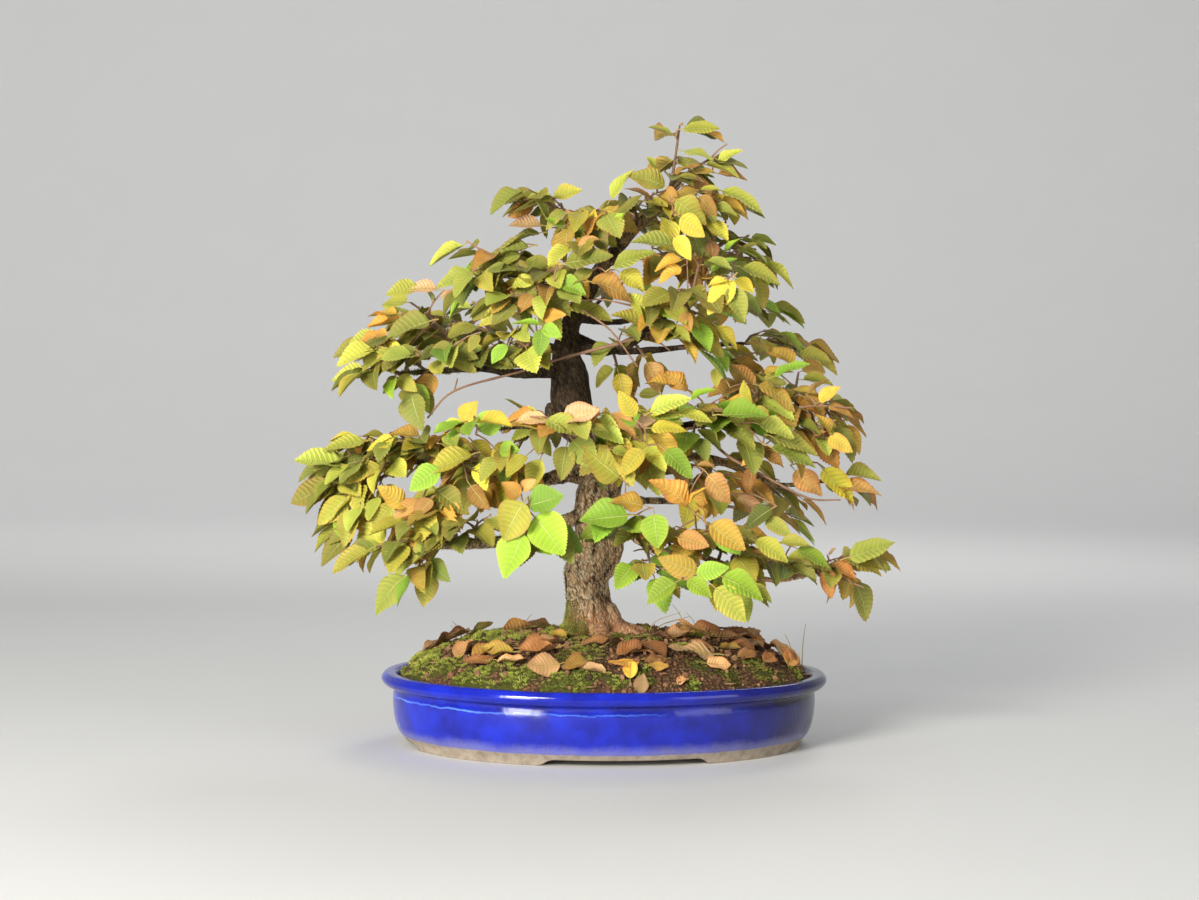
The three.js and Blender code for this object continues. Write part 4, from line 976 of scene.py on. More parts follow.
fillRows = {  # shoots between the solid ones: branch, place along it, colour, tip, reach, fullness
    "crown_left": [
        ("apexLeft", 0.83, "green", (-68, -11, 340), 18, 0.9),
        ("apexLeft", 0.73, "green", (-57, -27, 320), 18, 0.9),
        ("apexLeftTop", 0.91, "green", (-35, 0, 365), 18, 0.9)],
    "crown_front": [
        ("apexLeftTop", 0.76, "orange", (-37, -45, 337), 18, 0.9)],
    "apex_left_tip": [
        ("apexLeft", 0.98, "green", (-76, -20, 320), 20, 0.9)],
    "apex_left_front": [
        ("apexLeftTop", 0.4, "green", (-22, -62, 323), 20, 0.9)],
    "crown_top": [
        ("apexLeftTop", 0.18, "green", (-5, 1, 364), 16, 0.9),
        ("apexLeftTop", 0.18, "green", (1, -8, 373), 14, 0.8)],
    "leader": [
        ("trunk", 0.96, "orange", (15, -24, 381), 14, 0.8),
        ("trunk", 1.0, "orange", (51, -21, 384), 12, 0.8)],
    "crown_right": [
        ("apexRight", 1.0, "green", (88, -4, 368), 16, 0.8),
        ("rightHighFront", 1.0, "orange", (52, -66, 337), 18, 0.9)],
    "crown_back": [
        ("apexRight", 1.0, "green", (76, 10, 356), 18, 0.9)],
    "apex_right_front": [
        ("rightHighFront", 0.72, "yellow", (-1, -58, 300), 18, 0.9),
        ("rightHighFront", 0.76, "green", (22, -54, 288), 20, 0.9)],
    "apex_right_tip": [
        ("apexRight", 1.0, "green", (86, -26, 323), 20, 0.9),
        ("apexRight", 1.0, "green", (112, -4, 312), 18, 0.9),
        ("rightHighFront", 1.0, "yellow", (79, -47, 297), 20, 0.9)],
    "right_high_front_low": [
        ("rightHighFront", 0.4, "yellow", (-4, -30, 273), 20, 0.9),
        ("rightHighFront", 0.62, "orange", (20, -48, 266), 20, 0.9)],
    "right_high_front_tip": [
        ("rightHighFront", 0.94, "yellow", (47, -77, 273), 20, 0.9)],
    "right_high_back": [
        ("rightHigh", 1.0, "green", (108, -5, 282), 22, 0.9)],
    "right_high_tip": [
        ("rightMid", 0.93, "yellow", (126, -18, 268), 20, 0.9),
        ("rightMid", 0.74, "green", (96, -34, 268), 20, 0.9)],
    "right_high_middle": [
        ("rightHighFront", 0.34, "orange", (6, -21, 240), 20, 0.8),
        ("rightHighFront", 0.51, "orange", (25, -38, 249), 18, 0.8),
        ("rightMid", 0.51, "yellow", (53, -48, 245), 20, 0.9)],
    "right_mid_top": [
        ("rightMid", 0.69, "yellow", (78, -55, 241), 20, 0.9),
        ("rightMid", 0.85, "orange", (105, -49, 237), 20, 0.9),
        ("rightMid", 0.93, "green", (125, -28, 242), 18, 0.9),
        ("rightMid", 0.8, "green", (96, -64, 222), 20, 0.9)],
    "right_mid_front": [
        ("frontMid", 0.29, "bright", (11, -62, 229), 18, 0.8),
        ("rightMid", 0.59, "green", (62, -69, 228), 20, 0.9),
        ("rightMid", 0.49, "green", (42, -75, 205), 20, 0.9),
        ("rightMid", 0.67, "green", (77, -71, 202), 20, 0.9)],
    "right_mid_tip": [
        ("rightMid", 1.0, "orange", (141, -64, 235), 12, 0.6),
        ("rightMid", 0.97, "yellow", (133, -63, 206), 14, 0.7),
        ("rightMid", 0.87, "orange", (114, -62, 196), 18, 0.8)],
    "left_inner": [
        ("frontMid", 0.65, "orange", (-55, -49, 178), 20, 0.9),
        ("frontMid", 0.75, "yellow", (-73, -40, 184), 20, 0.9),
        ("leftLowFront", 0.77, "green", (-90, -43, 165), 20, 0.8)],
    "right_low_front": [
        ("frontMid", 0.36, "orange", (0, -63, 178), 18, 0.9),
        ("frontMid", 0.23, "orange", (24, -70, 181), 20, 0.9),
        ("rightLowFront", 0.33, "orange", (16, -81, 164), 20, 0.9),
        ("rightLowFront", 0.42, "yellow", (49, -74, 157), 20, 0.9)],
    "right_low_tip": [
        ("rightLowFront", 0.51, "orange", (82, -42, 162), 18, 0.7)],
    "right_foot_top": [
        ("rightLowFront", 0.68, "green", (96, -76, 138), 18, 0.9),
        ("rightLowFront", 0.57, "orange", (72, -77, 141), 18, 0.9)],
    "right_low_back": [
        ("rightLowFront", 0.76, "green", (119, -27, 138), 18, 0.8)],
    "right_foot_tip": [
        ("rightLowFront", 0.94, "orange", (131, -77, 129), 14, 0.7)],
    "cross_middle": [
        ("frontMid", 0.69, "orange", (-50, -58, 218), 16, 0.8)],
    "front_centre": [
        ("frontMid", 0.47, "orange", (-21, -60, 222), 16, 0.8),
        ("frontMid", 0.42, "yellow", (-2, -69, 207), 18, 0.9),
        ("frontMid", 0.57, "green", (-34, -62, 195), 18, 0.8),
        ("frontMid", 0.38, "green", (-12, -49, 191), 18, 0.8)],
    "left_top": [
        ("leftLow", 1.0, "green", (-160, 4, 212), 18, 0.9),
        ("leftLow", 1.0, "orange", (-134, 5, 216), 18, 0.9),
        ("leftLow", 0.93, "yellow", (-120, -13, 208), 18, 0.9)],
    "left_high_crown": [
        ("leftHigh", 0.96, "orange", (-140, 12, 304), 10, 0.5),
        ("apexLeft", 1.0, "green", (-104, 0, 300), 20, 0.9)],
    "left_high_inner": [
        ("apexLeft", 0.95, "green", (-76, -20, 305), 20, 0.9),
        ("apexLeft", 0.63, "green", (-56, -22, 295), 20, 0.9),
        ("leftHigh", 0.55, "green", (-90, -38, 275), 20, 0.9)],
    "left_front": [
        ("leftLowFront", 1.0, "green", (-122, -43, 152), 20, 0.9),
        ("leftLowFront", 1.0, "orange", (-144, -40, 164), 20, 0.9)],
    "left_tip": [
        ("leftLow", 1.0, "green", (-185, -14, 163), 20, 0.9)],
}
frontLeaves = {  # leaves that face the viewer: tint, then x, y and z of the blade's foot and of its tip
    "front_four": [
        ("yellow", -65, -80, 165, -80, -83, 142), ("lime", -61, -76, 163, -40, -84, 170),
        ("lime", -58, -79, 156, -38, -87, 134), ("lime", -65, -82, 146, -78, -85, 117),
        ("amber", -67, -71, 168, -78, -75, 177), ("tan", -65, -70, 173, -58, -76, 179)],
    "cross_tip": [
        ("yellow", -103, -60, 215, -95, -66, 228), ("lime", -92, -64, 210, -78, -71, 222),
        ("lime", -79, -62, 198, -67, -68, 198)],
    "cross_middle": [
        ("pink", -50, -74, 217, -70, -76, 214), ("pink", -40, -77, 217, -18, -85, 224),
        ("olive", -51, -78, 217, -29, -86, 206), ("gold", -69, -69, 214, -46, -77, 207),
        ("olive", -58, -22, 221, -71, -25, 232), ("moss", -52, -53, 205, -45, -59, 195),
        ("moss", -59, -50, 207, -70, -54, 202)],
    "left_high_crown": [
        ("pink", -115, 4, 302, -137, 4, 304), ("fresh", -128, 6, 303, -150, 5, 301),
        ("pink", -113, 2, 297, -100, -5, 304), ("olive", -119, 7, 295, -121, 2, 302)],
    "left_high_inner": [
        ("lime", -53, -63, 278, -73, -65, 279), ("lime", -53, -65, 275, -54, -70, 257),
        ("lime", -52, -63, 277, -41, -70, 269), ("lime", -75, -56, 265, -85, -60, 253),
        ("amber", -53, -53, 283, -37, -60, 285)],
    "left_high_front": [
        ("olive", -92, -50, 271, -100, -54, 261), ("olive", -108, -45, 264, -123, -48, 258)],
    "left_high_tip": [
        ("fresh", -161, 0, 245, -185, -1, 243), ("amber", -119, -11, 246, -128, -15, 226),
        ("olive", -139, -7, 242, -152, -10, 234)],
    "left_high_shoulder": [
        ("fresh", -152, 5, 270, -174, 3, 266), ("olive", -122, -23, 280, -152, -24, 271)],
    "left_tip": [
        ("fresh", -178, -3, 185, -209, -4, 189), ("olive", -180, -5, 173, -212, -6, 162),
        ("fresh", -163, -3, 201, -191, -4, 197), ("olive", -174, -10, 164, -193, -12, 146),
        ("olive", -165, -19, 149, -193, -20, 121), ("olive", -164, -15, 149, -192, -16, 136),
        ("fresh", -149, -26, 149, -172, -27, 125), ("olive", -128, -32, 146, -153, -34, 124),
        ("olive", -145, -28, 161, -159, -31, 145)],
    "left_inner": [
        ("gold", -137, -43, 159, -154, -46, 175), ("lime", -116, -48, 185, -137, -50, 173),
        ("yellow", -96, -49, 194, -125, -50, 185), ("yellow", -95, -45, 203, -82, -52, 192),
        ("tan", -129, -42, 164, -144, -45, 152), ("tan", -121, -46, 165, -132, -49, 152),
        ("amber", -96, -47, 174, -85, -54, 158), ("olive", -118, -38, 171, -97, -46, 155)],
    "left_top": [
        ("yellow", -142, -10, 201, -162, -13, 199), ("gold", -127, -4, 205, -145, -7, 211),
        ("olive", -113, -25, 200, -94, -32, 197), ("olive", -150, 1, 205, -164, -2, 205)],
    "pendant_left": [
        ("fresh", -133, -32, 119, -160, -33, 93), ("olive", -121, -31, 117, -126, -36, 95),
        ("gold", -119, -32, 133, -133, -35, 126), ("gold", -127, -33, 124, -135, -37, 120)],
    "right_foot_inner": [
        ("lime", 3, -91, 158, -31, -92, 155), ("lime", 16, -95, 159, 18, -100, 138),
        ("gold", 10, -90, 164, -11, -92, 170), ("olive", -3, -70, 181, -27, -72, 199)],
    "right_foot_front": [
        ("gold", 42, -107, 123, 17, -108, 132), ("lime", 28, -109, 117, 8, -111, 107),
        ("lime", 41, -109, 122, 60, -116, 127), ("lime", 57, -113, 121, 83, -122, 110),
        ("lime", 35, -112, 119, 50, -119, 109), ("fresh", 52, -116, 114, 72, -124, 96)],
    "right_foot_middle": [
        ("amber", 37, -102, 164, 17, -104, 186), ("gold", 37, -98, 167, 47, -105, 178),
        ("gold", 47, -106, 155, 40, -110, 168), ("gold", 50, -104, 153, 72, -112, 138),
        ("tan", 51, -92, 184, 65, -99, 168), ("tan", 44, -87, 189, 55, -94, 191),
        ("tan", 32, -91, 144, 51, -99, 139)],
    "right_foot_top": [
        ("lime", 109, -94, 137, 129, -102, 128), ("fresh", 82, -92, 142, 103, -100, 132),
        ("olive", 99, -91, 141, 116, -98, 142)],
    "right_foot_tip": [
        ("fresh", 146, -83, 131, 174, -92, 141), ("rust", 131, -79, 123, 136, -85, 105),
        ("rust", 137, -78, 127, 152, -85, 121), ("pink", 132, -83, 133, 135, -89, 137)],
    "right_low_tip": [
        ("tan", 152, -36, 175, 178, -44, 173), ("olive", 155, -34, 182, 177, -42, 185),
        ("yellow", 139, -36, 186, 158, -43, 164), ("tan", 120, -37, 185, 136, -44, 167)],
    "right_low_front": [
        ("moss", 94, -84, 162, 76, -86, 152), ("olive", 90, -85, 154, 106, -93, 148)],
    "right_mid_tip": [
        ("gold", 129, -65, 231, 139, -71, 242), ("tan", 123, -62, 237, 134, -68, 246),
        ("amber", 135, -65, 228, 150, -73, 226), ("gold", 137, -64, 209, 128, -68, 224),
        ("gold", 135, -65, 207, 150, -73, 202), ("rust", 126, -62, 208, 129, -68, 214),
        ("gold", 90, -61, 199, 80, -65, 190), ("tan", 91, -53, 199, 108, -61, 190),
        ("rust", 87, -57, 188, 84, -61, 170)],
    "right_mid_top": [
        ("lime", 101, -55, 247, 122, -63, 258), ("gold", 90, -57, 241, 115, -66, 237),
        ("amber", 87, -55, 239, 73, -58, 257), ("yellow", 83, -62, 229, 76, -66, 243),
        ("lime", 68, -58, 244, 51, -61, 268), ("olive", 65, -45, 252, 63, -50, 240)],
    "right_mid_front": [
        ("fresh", 15, -87, 223, 38, -95, 235), ("lime", 59, -93, 222, 87, -102, 224),
        ("fresh", 31, -87, 223, 53, -95, 219), ("lime", 41, -83, 232, 55, -90, 240),
        ("gold", 62, -79, 224, 43, -82, 226), ("fresh", 84, -83, 205, 121, -93, 190),
        ("olive", 95, -80, 208, 124, -89, 199), ("fresh", 85, -85, 216, 107, -93, 210)],
    "front_centre": [
        ("yellow", 4, -87, 220, -6, -91, 237), ("yellow", 14, -91, 213, 35, -99, 214),
        ("fresh", -27, -81, 214, -13, -88, 211), ("yellow", 10, -86, 199, -6, -89, 184),
        ("lime", 24, -86, 199, 42, -94, 183), ("olive", 5, -75, 194, 1, -80, 176),
        ("pink", 7, -74, 215, 18, -80, 219), ("moss", -9, -80, 199, 4, -86, 197)],
    "right_high_middle": [
        ("gold", 37, -46, 240, 17, -48, 244), ("amber", 46, -43, 237, 31, -46, 253),
        ("moss", 17, -23, 234, 30, -29, 234), ("gold", 101, -34, 263, 87, -38, 271),
        ("gold", 118, -35, 255, 104, -38, 270), ("olive", 124, -28, 262, 144, -35, 257)],
    "leader": [
        ("fresh", 37, -19, 406, 21, -22, 412), ("fresh", 45, -20, 410, 67, -29, 412),
        ("amber", 72, -20, 402, 59, -23, 408), ("fresh", 68, -22, 389, 83, -29, 397),
        ("rust", 69, -18, 382, 88, -25, 382), ("amber", 38, -26, 380, 52, -33, 389),
        ("gold", 52, -25, 381, 64, -32, 384), ("olive", 54, -30, 375, 39, -33, 377)],
    "crown_top": [
        ("fresh", -3, -22, 363, 9, -29, 383), ("olive", 31, -31, 371, 8, -32, 382),
        ("fresh", 25, -24, 384, 18, -28, 390), ("tan", 22, -31, 362, 8, -34, 373)],
    "crown_right": [
        ("fresh", 70, -28, 369, 98, -37, 359), ("fresh", 54, -34, 369, 67, -41, 370),
        ("gold", 54, -38, 367, 34, -40, 367), ("olive", 36, -45, 361, 56, -53, 346),
        ("amber", 52, -42, 364, 64, -48, 351), ("yellow", 35, -68, 348, 51, -75, 337),
        ("fresh", 31, -71, 330, 3, -72, 335), ("yellow", 31, -71, 335, 42, -78, 322),
        ("rust", 57, -58, 334, 59, -64, 321), ("lime", 38, -42, 345, 26, -45, 344)],
    "crown_left": [
        ("fresh", -41, -10, 364, -59, -13, 363), ("olive", -40, -9, 364, -22, -16, 369),
        ("fresh", -44, -16, 347, -54, -20, 365), ("amber", -53, -5, 360, -70, -7, 352),
        ("pink", -49, -13, 345, -70, -15, 347), ("lime", -32, -24, 341, -47, -27, 349),
        ("olive", -49, -9, 340, -75, -11, 336), ("amber", -20, -17, 341, -37, -20, 348)],
    "crown_front": [
        ("lime", -6, -50, 344, 1, -56, 352), ("amber", -23, -41, 336, -14, -48, 354),
        ("yellow", -7, -51, 338, -2, -57, 336), ("tan", -14, -49, 333, -31, -51, 327),
        ("lime", -34, -32, 341, -19, -39, 339), ("olive", -5, -46, 344, 13, -53, 364)],
    "apex_left_tip": [
        ("olive", -48, -13, 332, -87, -13, 325), ("olive", -63, -17, 326, -81, -20, 316),
        ("olive", -74, -20, 302, -96, -22, 317), ("fresh", -69, -31, 303, -52, -38, 312),
        ("fresh", -88, -22, 303, -74, -29, 300)],
    "apex_left_front": [
        ("olive", -37, -55, 318, -8, -65, 323), ("olive", -20, -56, 314, -36, -59, 306),
        ("fresh", -8, -66, 315, 16, -74, 329), ("amber", -21, -60, 306, 4, -68, 304),
        ("yellow", -3, -64, 312, 13, -71, 302), ("lime", -41, -55, 305, -24, -62, 301),
        ("olive", -67, -41, 290, -93, -42, 285), ("amber", -58, -44, 298, -66, -48, 285)],
    "apex_right_front": [
        ("fresh", -33, -36, 291, -4, -45, 285), ("fresh", 18, -53, 285, 5, -56, 300),
        ("olive", 16, -51, 280, -6, -53, 288), ("gold", 32, -65, 295, 19, -68, 291),
        ("lime", 45, -69, 297, 32, -72, 292), ("gold", 36, -70, 321, 18, -72, 317),
        ("gold", 35, -72, 316, 20, -75, 307)],
    "right_high_front_tip": [
        ("yellow", 63, -102, 307, 48, -105, 284), ("fresh", 61, -103, 302, 69, -110, 281),
        ("amber", 35, -90, 287, 36, -95, 275), ("yellow", 48, -96, 302, 63, -103, 310)],
    "apex_right_tip": [
        ("lime", 57, -59, 314, 71, -65, 325), ("lime", 67, -50, 327, 76, -56, 337),
        ("olive", 83, -32, 330, 92, -38, 336), ("olive", 81, -42, 318, 106, -50, 309),
        ("olive", 70, -54, 316, 55, -57, 309), ("yellow", 75, -51, 310, 87, -58, 302)],
}

spray = {
    "draw": 7919, "drawFrom": 3, "fillFrom": 11,  # the seeds of the solids' draws and of the added ones
    "leafShortest": 24, "leafSpread": 9, "leafSpacing": 10.5, "tipLeafReach": 20,
    "twigSpacing": 18, "towardLight": np.array((-0.1, -0.42, 0.88)),
    "towardViewer": np.array((-0.25, -0.9, 0.45)), "towardSky": np.array((-0.2, -0.55, 0.85)),
    "open": ("front_four", "cross_tip", "right_foot_inner", "right_foot_front"),  # leaves that lie open
    "longest": 37, "leaderClear": 11, "broad": ("front_four", "cross_tip", "right_foot_inner"),
    "fillSpacing": 15, "fillReach": 0.85, "fillSize": 0.88,  # the twigs added between the solid ones
    "stemRadius": (1.25, 0.7), "twigRadius": (0.7, 0.42), "stalkRadius": (0.36, 0.26),
    "stemSides": 7, "twigSides": 5, "stalkSides": 4, "seed": 101, "bareTop": slice(18, 22),
}


# The solids' source grows its sprays with these same numbers, so the first leaves lie on the solid ones

def sideOf(tangent):
    across = np.cross(tangent, upward)
    return unit(across) if np.dot(across, across) > 1e-6 else np.array((1.0, 0, 0))


def hangLeaf(grown, line, fraction, side, draw, size=1.0):
    point, tangent = spotOn(line, fraction)
    across = sideOf(tangent)
    outward = unit(np.array((point[0], point[1], 0)))
    heading = 0.6 * tangent * (1, 1, 0.35 if tangent[2] > 0 else 1)
    heading = heading + across * (0.8 * side + 0.4 * (draw() - 0.5)) + outward * 0.25
    heading = unit(heading + upward * (-0.5 + 0.4 * draw()))
    facing = spray["towardLight"] + outward * 0.5 + across * 0.7 * (draw() - 0.5)
    facing = squareTo(heading, facing + tangent * 0.4 * (draw() - 0.5))
    length = (spray["leafShortest"] + spray["leafSpread"] * draw()) * size
    grown["leaves"].append((point, heading, facing, length))


def atLeastOne(share):
    return max(1, math.floor(share + 0.5))


def hangLeaves(grown, line, begin, draw, size=1.0):
    count = atLeastOne(lineLength(line) * (1 - begin) / spray["leafSpacing"])
    for n in range(count):
        fraction = begin + (1 - begin) * (n + 0.5) / (count + 0.3)
        hangLeaf(grown, line, fraction, 1 if n % 2 else -1, draw, size)
    hangLeaf(grown, line, 1, 0, draw, size)


def growTwig(grown, stem, fraction, side, reach, draw, size=1.0):
    point, tangent = spotOn(stem, fraction)
    heading = unit(tangent * 0.7 + sideOf(tangent) * 0.9 * side + upward * (0.35 * draw() - 0.08))
    length = reach * (1.15 - 0.6 * fraction) * (0.75 + 0.4 * draw())
    end = point + heading * length
    twig = smoothLine([point, point + (end - point) * 0.5 + upward * 0.06 * length, end], 2)
    grown["twigs"].append(twig)
    hangLeaves(grown, twig, 0.25, draw, size)


def growStem(grown, root, tip, reach, fullness, draw):
    span = tip - root
    whole = float(np.linalg.norm(span))
    length = max(whole - spray["tipLeafReach"], whole / 2)
    span = span / whole * length
    lift = length * (0.05 + 0.06 * draw())
    sway = length * 0.12 * (draw() - 0.5)
    knee = root + span * 0.5 + upward * lift + sideOf(span) * sway
    stem = smoothLine([root, knee, root + span], 2)
    grown["stems"].append(stem)
    count = atLeastOne(length * fullness / spray["twigSpacing"])
    for n in range(count):
        growTwig(grown, stem, 0.16 + 0.72 * (n + 0.5) / count, 1 if n % 2 else -1, reach, draw)
    hangLeaves(grown, stem, 0.4, draw)


openings = [  # gaps seen through the crown, on the trunk's plane: place across, height, radius
    (161, 213, 12), (123, 161, 15), (106, 171, 11), (138, 150, 11), (90, 177, 8), (180, 105, 15),
    (18, 116, 12), (44, 256, 13), (-104, 135, 9), (-82, 138, 9), (-54, 192, 9), (88, 342, 8),
    (110, 315, 8), (-100, 328, 12), (-103, 310, 8), (-170, 248, 9), (-130, 232, 8), (-177, 265, 7),
    (10, 297, 9), (33, 307, 7), (183, 185, 7), (-92, 132, 11), (-62, 138, 10), (6, 124, 9),
    (30, 108, 9), (166, 228, 9), (118, 150, 10), (196, 118, 9),
]


def viewAxes():  # to the right and ahead, level with the ground
    swing = math.radians(view["swing"])
    right, ahead = (math.cos(swing), -math.sin(swing), 0), (math.sin(swing), math.cos(swing), 0)
    return np.array(right), np.array(ahead)


def unwanted(leaf):  # whether an added leaf would close a gap or hide the bare wood seen near the top
    base, heading, _, length = leaf
    right, ahead = viewAxes()
    middle = base + heading * length * leafForm["middle"]
    eye = np.array(view["place"]) * layout["millimetresPerMetre"]
    seen = middle - eye
    onPlane = eye - seen * (eye @ ahead) / (seen @ ahead)
    if any(math.hypot(onPlane @ right - across, onPlane[2] - height) < radius
           for across, height, radius in openings):
        return True
    offsets = [middle - spot for spot in smoothLine(trunkLine[spray["bareTop"]], 3)]
    return any(math.hypot(offset @ right, offset[2]) < spray["leaderClear"] and offset @ ahead < 0
               for offset in offsets)


def growSpray(index):  # its lines and leaves, and the mix that each leaf's tint is picked from
    name, branch, place, ownMix, stems = sprayRows[index]
    seed = spray["draw"] * (index + spray["drawFrom"])
    draw, fill = drawer(seed), drawer(seed + spray["fillFrom"])
    grown = {"stems": [], "twigs": [], "leaves": [], "front": []}
    for n, (start, tip, reach, fullness) in enumerate(stems):
        root = spotOn(branchLines[branch], place) if n == 0 else spotOn(grown["stems"][0], start)
        growStem(grown, root[0], np.array(tip, float), reach, fullness, draw)
    own = len(grown["leaves"])
    for stem, (_, _, reach, fullness) in zip(grown["stems"], stems):
        count = max(1, round(lineLength(stem) * fullness / spray["fillSpacing"]))
        for n in range(count):
            fraction = 0.06 + 0.86 * (n + fill()) / count
            growTwig(grown, stem, fraction, -1 if n % 2 else 1, reach * spray["fillReach"], fill,
                     spray["fillSize"])
    mixesOf = [ownMix] * len(grown["leaves"])
    for branch, place, mix, tip, reach, fullness in fillRows.get(name, []):
        root = spotOn(branchLines[branch], place)[0]
        growStem(grown, root, np.array(tip, float), reach, fullness, fill)
        mixesOf += [mix] * (len(grown["leaves"]) - len(mixesOf))
    kept = [n for n, leaf in enumerate(grown["leaves"]) if n < own or not unwanted(leaf)]
    grown["leaves"], mixesOf = [grown["leaves"][n] for n in kept], [mixesOf[n] for n in kept]
    for tint, *places in frontLeaves.get(name, []):
        hangFrontLeaf(grown, tint, places, name in spray["open"], fill)
    return grown, mixesOf


def hangFrontLeaf(grown, tint, places, isOpen, draw):  # on a slender twig from the nearest wood
    foot, tip = np.array(places, float).reshape(2, 3)
    heading = unit(tip - foot)
    length = min(float(np.linalg.norm(tip - foot)) / (1 - leafForm["stalk"]), spray["longest"])
    base = tip - heading * length
    hanging = 1 if isOpen else smoothStep(-0.15, -0.85, heading[2])
    facing = spray["towardSky"] + (spray["towardViewer"] - spray["towardSky"]) * hanging
    facing = facing + np.array((draw() - 0.5, 0.4 * (draw() - 0.5), draw() - 0.5)) * 0.8
    facing = squareTo(heading, facing)
    spots = np.array([spot for line in grown["stems"] + grown["twigs"] for spot in line[1:]])
    nearest = spots[np.argmin(np.linalg.norm(spots - base, axis=1))]
    middle = (nearest + base) / 2 + upward * 0.08 * np.linalg.norm(base - nearest)
    grown["twigs"].append(smoothLine([nearest, middle, base], 2))
    grown["front"].append((tint, (base, heading, facing, length)))


leafForm = {
    "veins": 9, "stalk": 0.16, "halfWidth": 0.285, "pleat": 0.021, "thickness": 0.011, "middle": 0.55,
    "columns": (0, 0.55, 1),  # shares of the half width where the blade is divided
    "rounding": 0.66, "tapering": 1.05, "widest": 0.3197,  # the outline's powers and widest value
}


def outlineWidth(u):  # half the blade's width, as a share of its widest
    foot, tip = np.maximum(u, 0) ** leafForm["rounding"], np.maximum(1 - u, 0) ** leafForm["tapering"]
    return foot * tip / leafForm["widest"]


def leafGrid(each, tooth):  # rows for each vein, and how far the teeth stand out
    rows = leafForm["veins"] * each
    half = leafForm["columns"]
    across = np.array([-value for value in half[:0:-1]] + list(half))
    s, t = np.meshgrid(np.arange(rows) / rows, across, indexing="ij")
    reach = np.abs(t)
    edge = s + (0.15 + 0.12 * np.sin(math.pi * s)) * (1 - s)
    u = s + (edge - s) * reach ** np.where(s == 0, 2.0, 1.25)
    teeth = np.where(np.arange(rows) % 2 == 0, 1.0, -0.6)[:, None] * (reach == 1) * (s > 0)
    width = outlineWidth(edge) * t * leafForm["halfWidth"] + np.sign(t) * teeth * tooth * 0.5
    u = u + teeth * tooth * 0.6
    ridge = 1.3 * np.sin(math.pi * (np.arange(rows) % each) / each) - 0.3
    pleat = ridge[:, None] * np.sin(np.minimum(reach * 1.3, 1) * 2.6)
    pleat = pleat * leafForm["pleat"] * np.minimum((1 - s) * 4, 1)
    columns = len(across)
    spots = np.stack([s * leafForm["veins"], t, u], axis=-1).reshape(-1, 3)
    tip = np.array([[leafForm["veins"], 0, 1.0]])
    inner = np.array([r * columns + c for r in range(1, rows) for c in range(1, columns - 1)])
    under = np.arange(rows * columns)
    under[inner] = rows * columns + 1 + np.arange(len(inner))
    last = rows * columns
    top = np.array([(a, a + 1, a + columns + 1, a + columns) for a in range(last - columns)
                    if (a + 1) % columns])
    tail = np.array([(a, a + 1, last) for a in range(last - columns, last - 1)])
    lower = np.append(under, last)
    return {
        "x": np.append(u.ravel(), 1.0), "y": np.append(width.ravel(), 0.0),
        "z": np.append(pleat.ravel(), 0.0), "spots": np.concatenate([spots, tip]), "inner": inner,
        "faces": [top[:, ::-1], tail[:, ::-1], lower[top], lower[tail]],
    }


grids = {"fine": leafGrid(4, 0.02), "plain": leafGrid(2, 0.022)}


def bendLeaf(x, y, z, habit):  # the blade's own droop, fold, rolled edges and twist, in leaf lengths
    u = (x - leafForm["stalk"]) / (1 - leafForm["stalk"])
    turn = habit["roll"] * np.abs(y) / leafForm["halfWidth"]
    turn = np.where(turn == 0, 1e-6, turn)
    z = z + habit["fold"] * np.abs(y) + np.abs(y) * (1 - np.cos(turn)) / turn
    y = y * np.sin(turn) / turn
    z = z + habit["wave"] * np.sin(u * 9 + habit["phase"]) * np.abs(y) * np.sign(y)
    twist = habit["twist"] * u
    y, z = y * np.cos(twist) - z * np.sin(twist), y * np.sin(twist) + z * np.cos(twist)
    y = y + habit["sway"] * u * u
    return x, y, z - habit["droop"] * u * u


def addLeaf(shape, leaf, habit, tint, rim, dryness, grid):
    base, heading, facing, length = leaf
    across = np.cross(heading, facing)
    frameRows = np.array((heading, across, facing))
    x, y, z = grid["x"], grid["y"] * habit["breadth"], grid["z"] * habit["pleats"]
    x, y, z = bendLeaf(leafForm["stalk"] + (1 - leafForm["stalk"]) * x, y, z, habit)
    upper = np.stack([x, y, z], axis=1)
    lower = upper[grid["inner"]] - (0, 0, leafForm["thickness"])
    points = base + length * (np.concatenate([upper, lower]) @ frameRows)
    spots = np.concatenate([grid["spots"], grid["spots"][grid["inner"]]])
    face = np.concatenate([np.ones(len(upper)), np.zeros(len(lower))])[:, None]
    tints = np.hstack([np.broadcast_to(tint[:3], (len(points), 3)), face])
    shape.add(points, grid["faces"], leafSpot=spots, leafTint=tints, leafRim=(*rim[:3], dryness))
    ribX = np.array((-0.01, 0.09, leafForm["stalk"], 0.36, 0.62, 0.86))
    rx, ry, rz = bendLeaf(ribX, 0 * ribX, 0 * ribX, {**habit, "wave": 0})
    rx[:3], ry[:3] = ribX[:3], 0
    rz[:3] = (0, 0.012, 0)
    rz[3:] -= leafForm["thickness"]
    line = base + length * (np.stack([rx, ry, rz], axis=1) @ frameRows)
    thick, thin = spray["stalkRadius"]
    radii = np.array((thick * 1.2, thick, thick, thin, thin * 0.7, 0.08)) * length / 28
    points, faces = tube(line, radii, spray["stalkSides"])
    shape.add(points, faces, 1, twigSpot=(0.9, 0.75 if dryness < 0.8 else 0.2, 0))


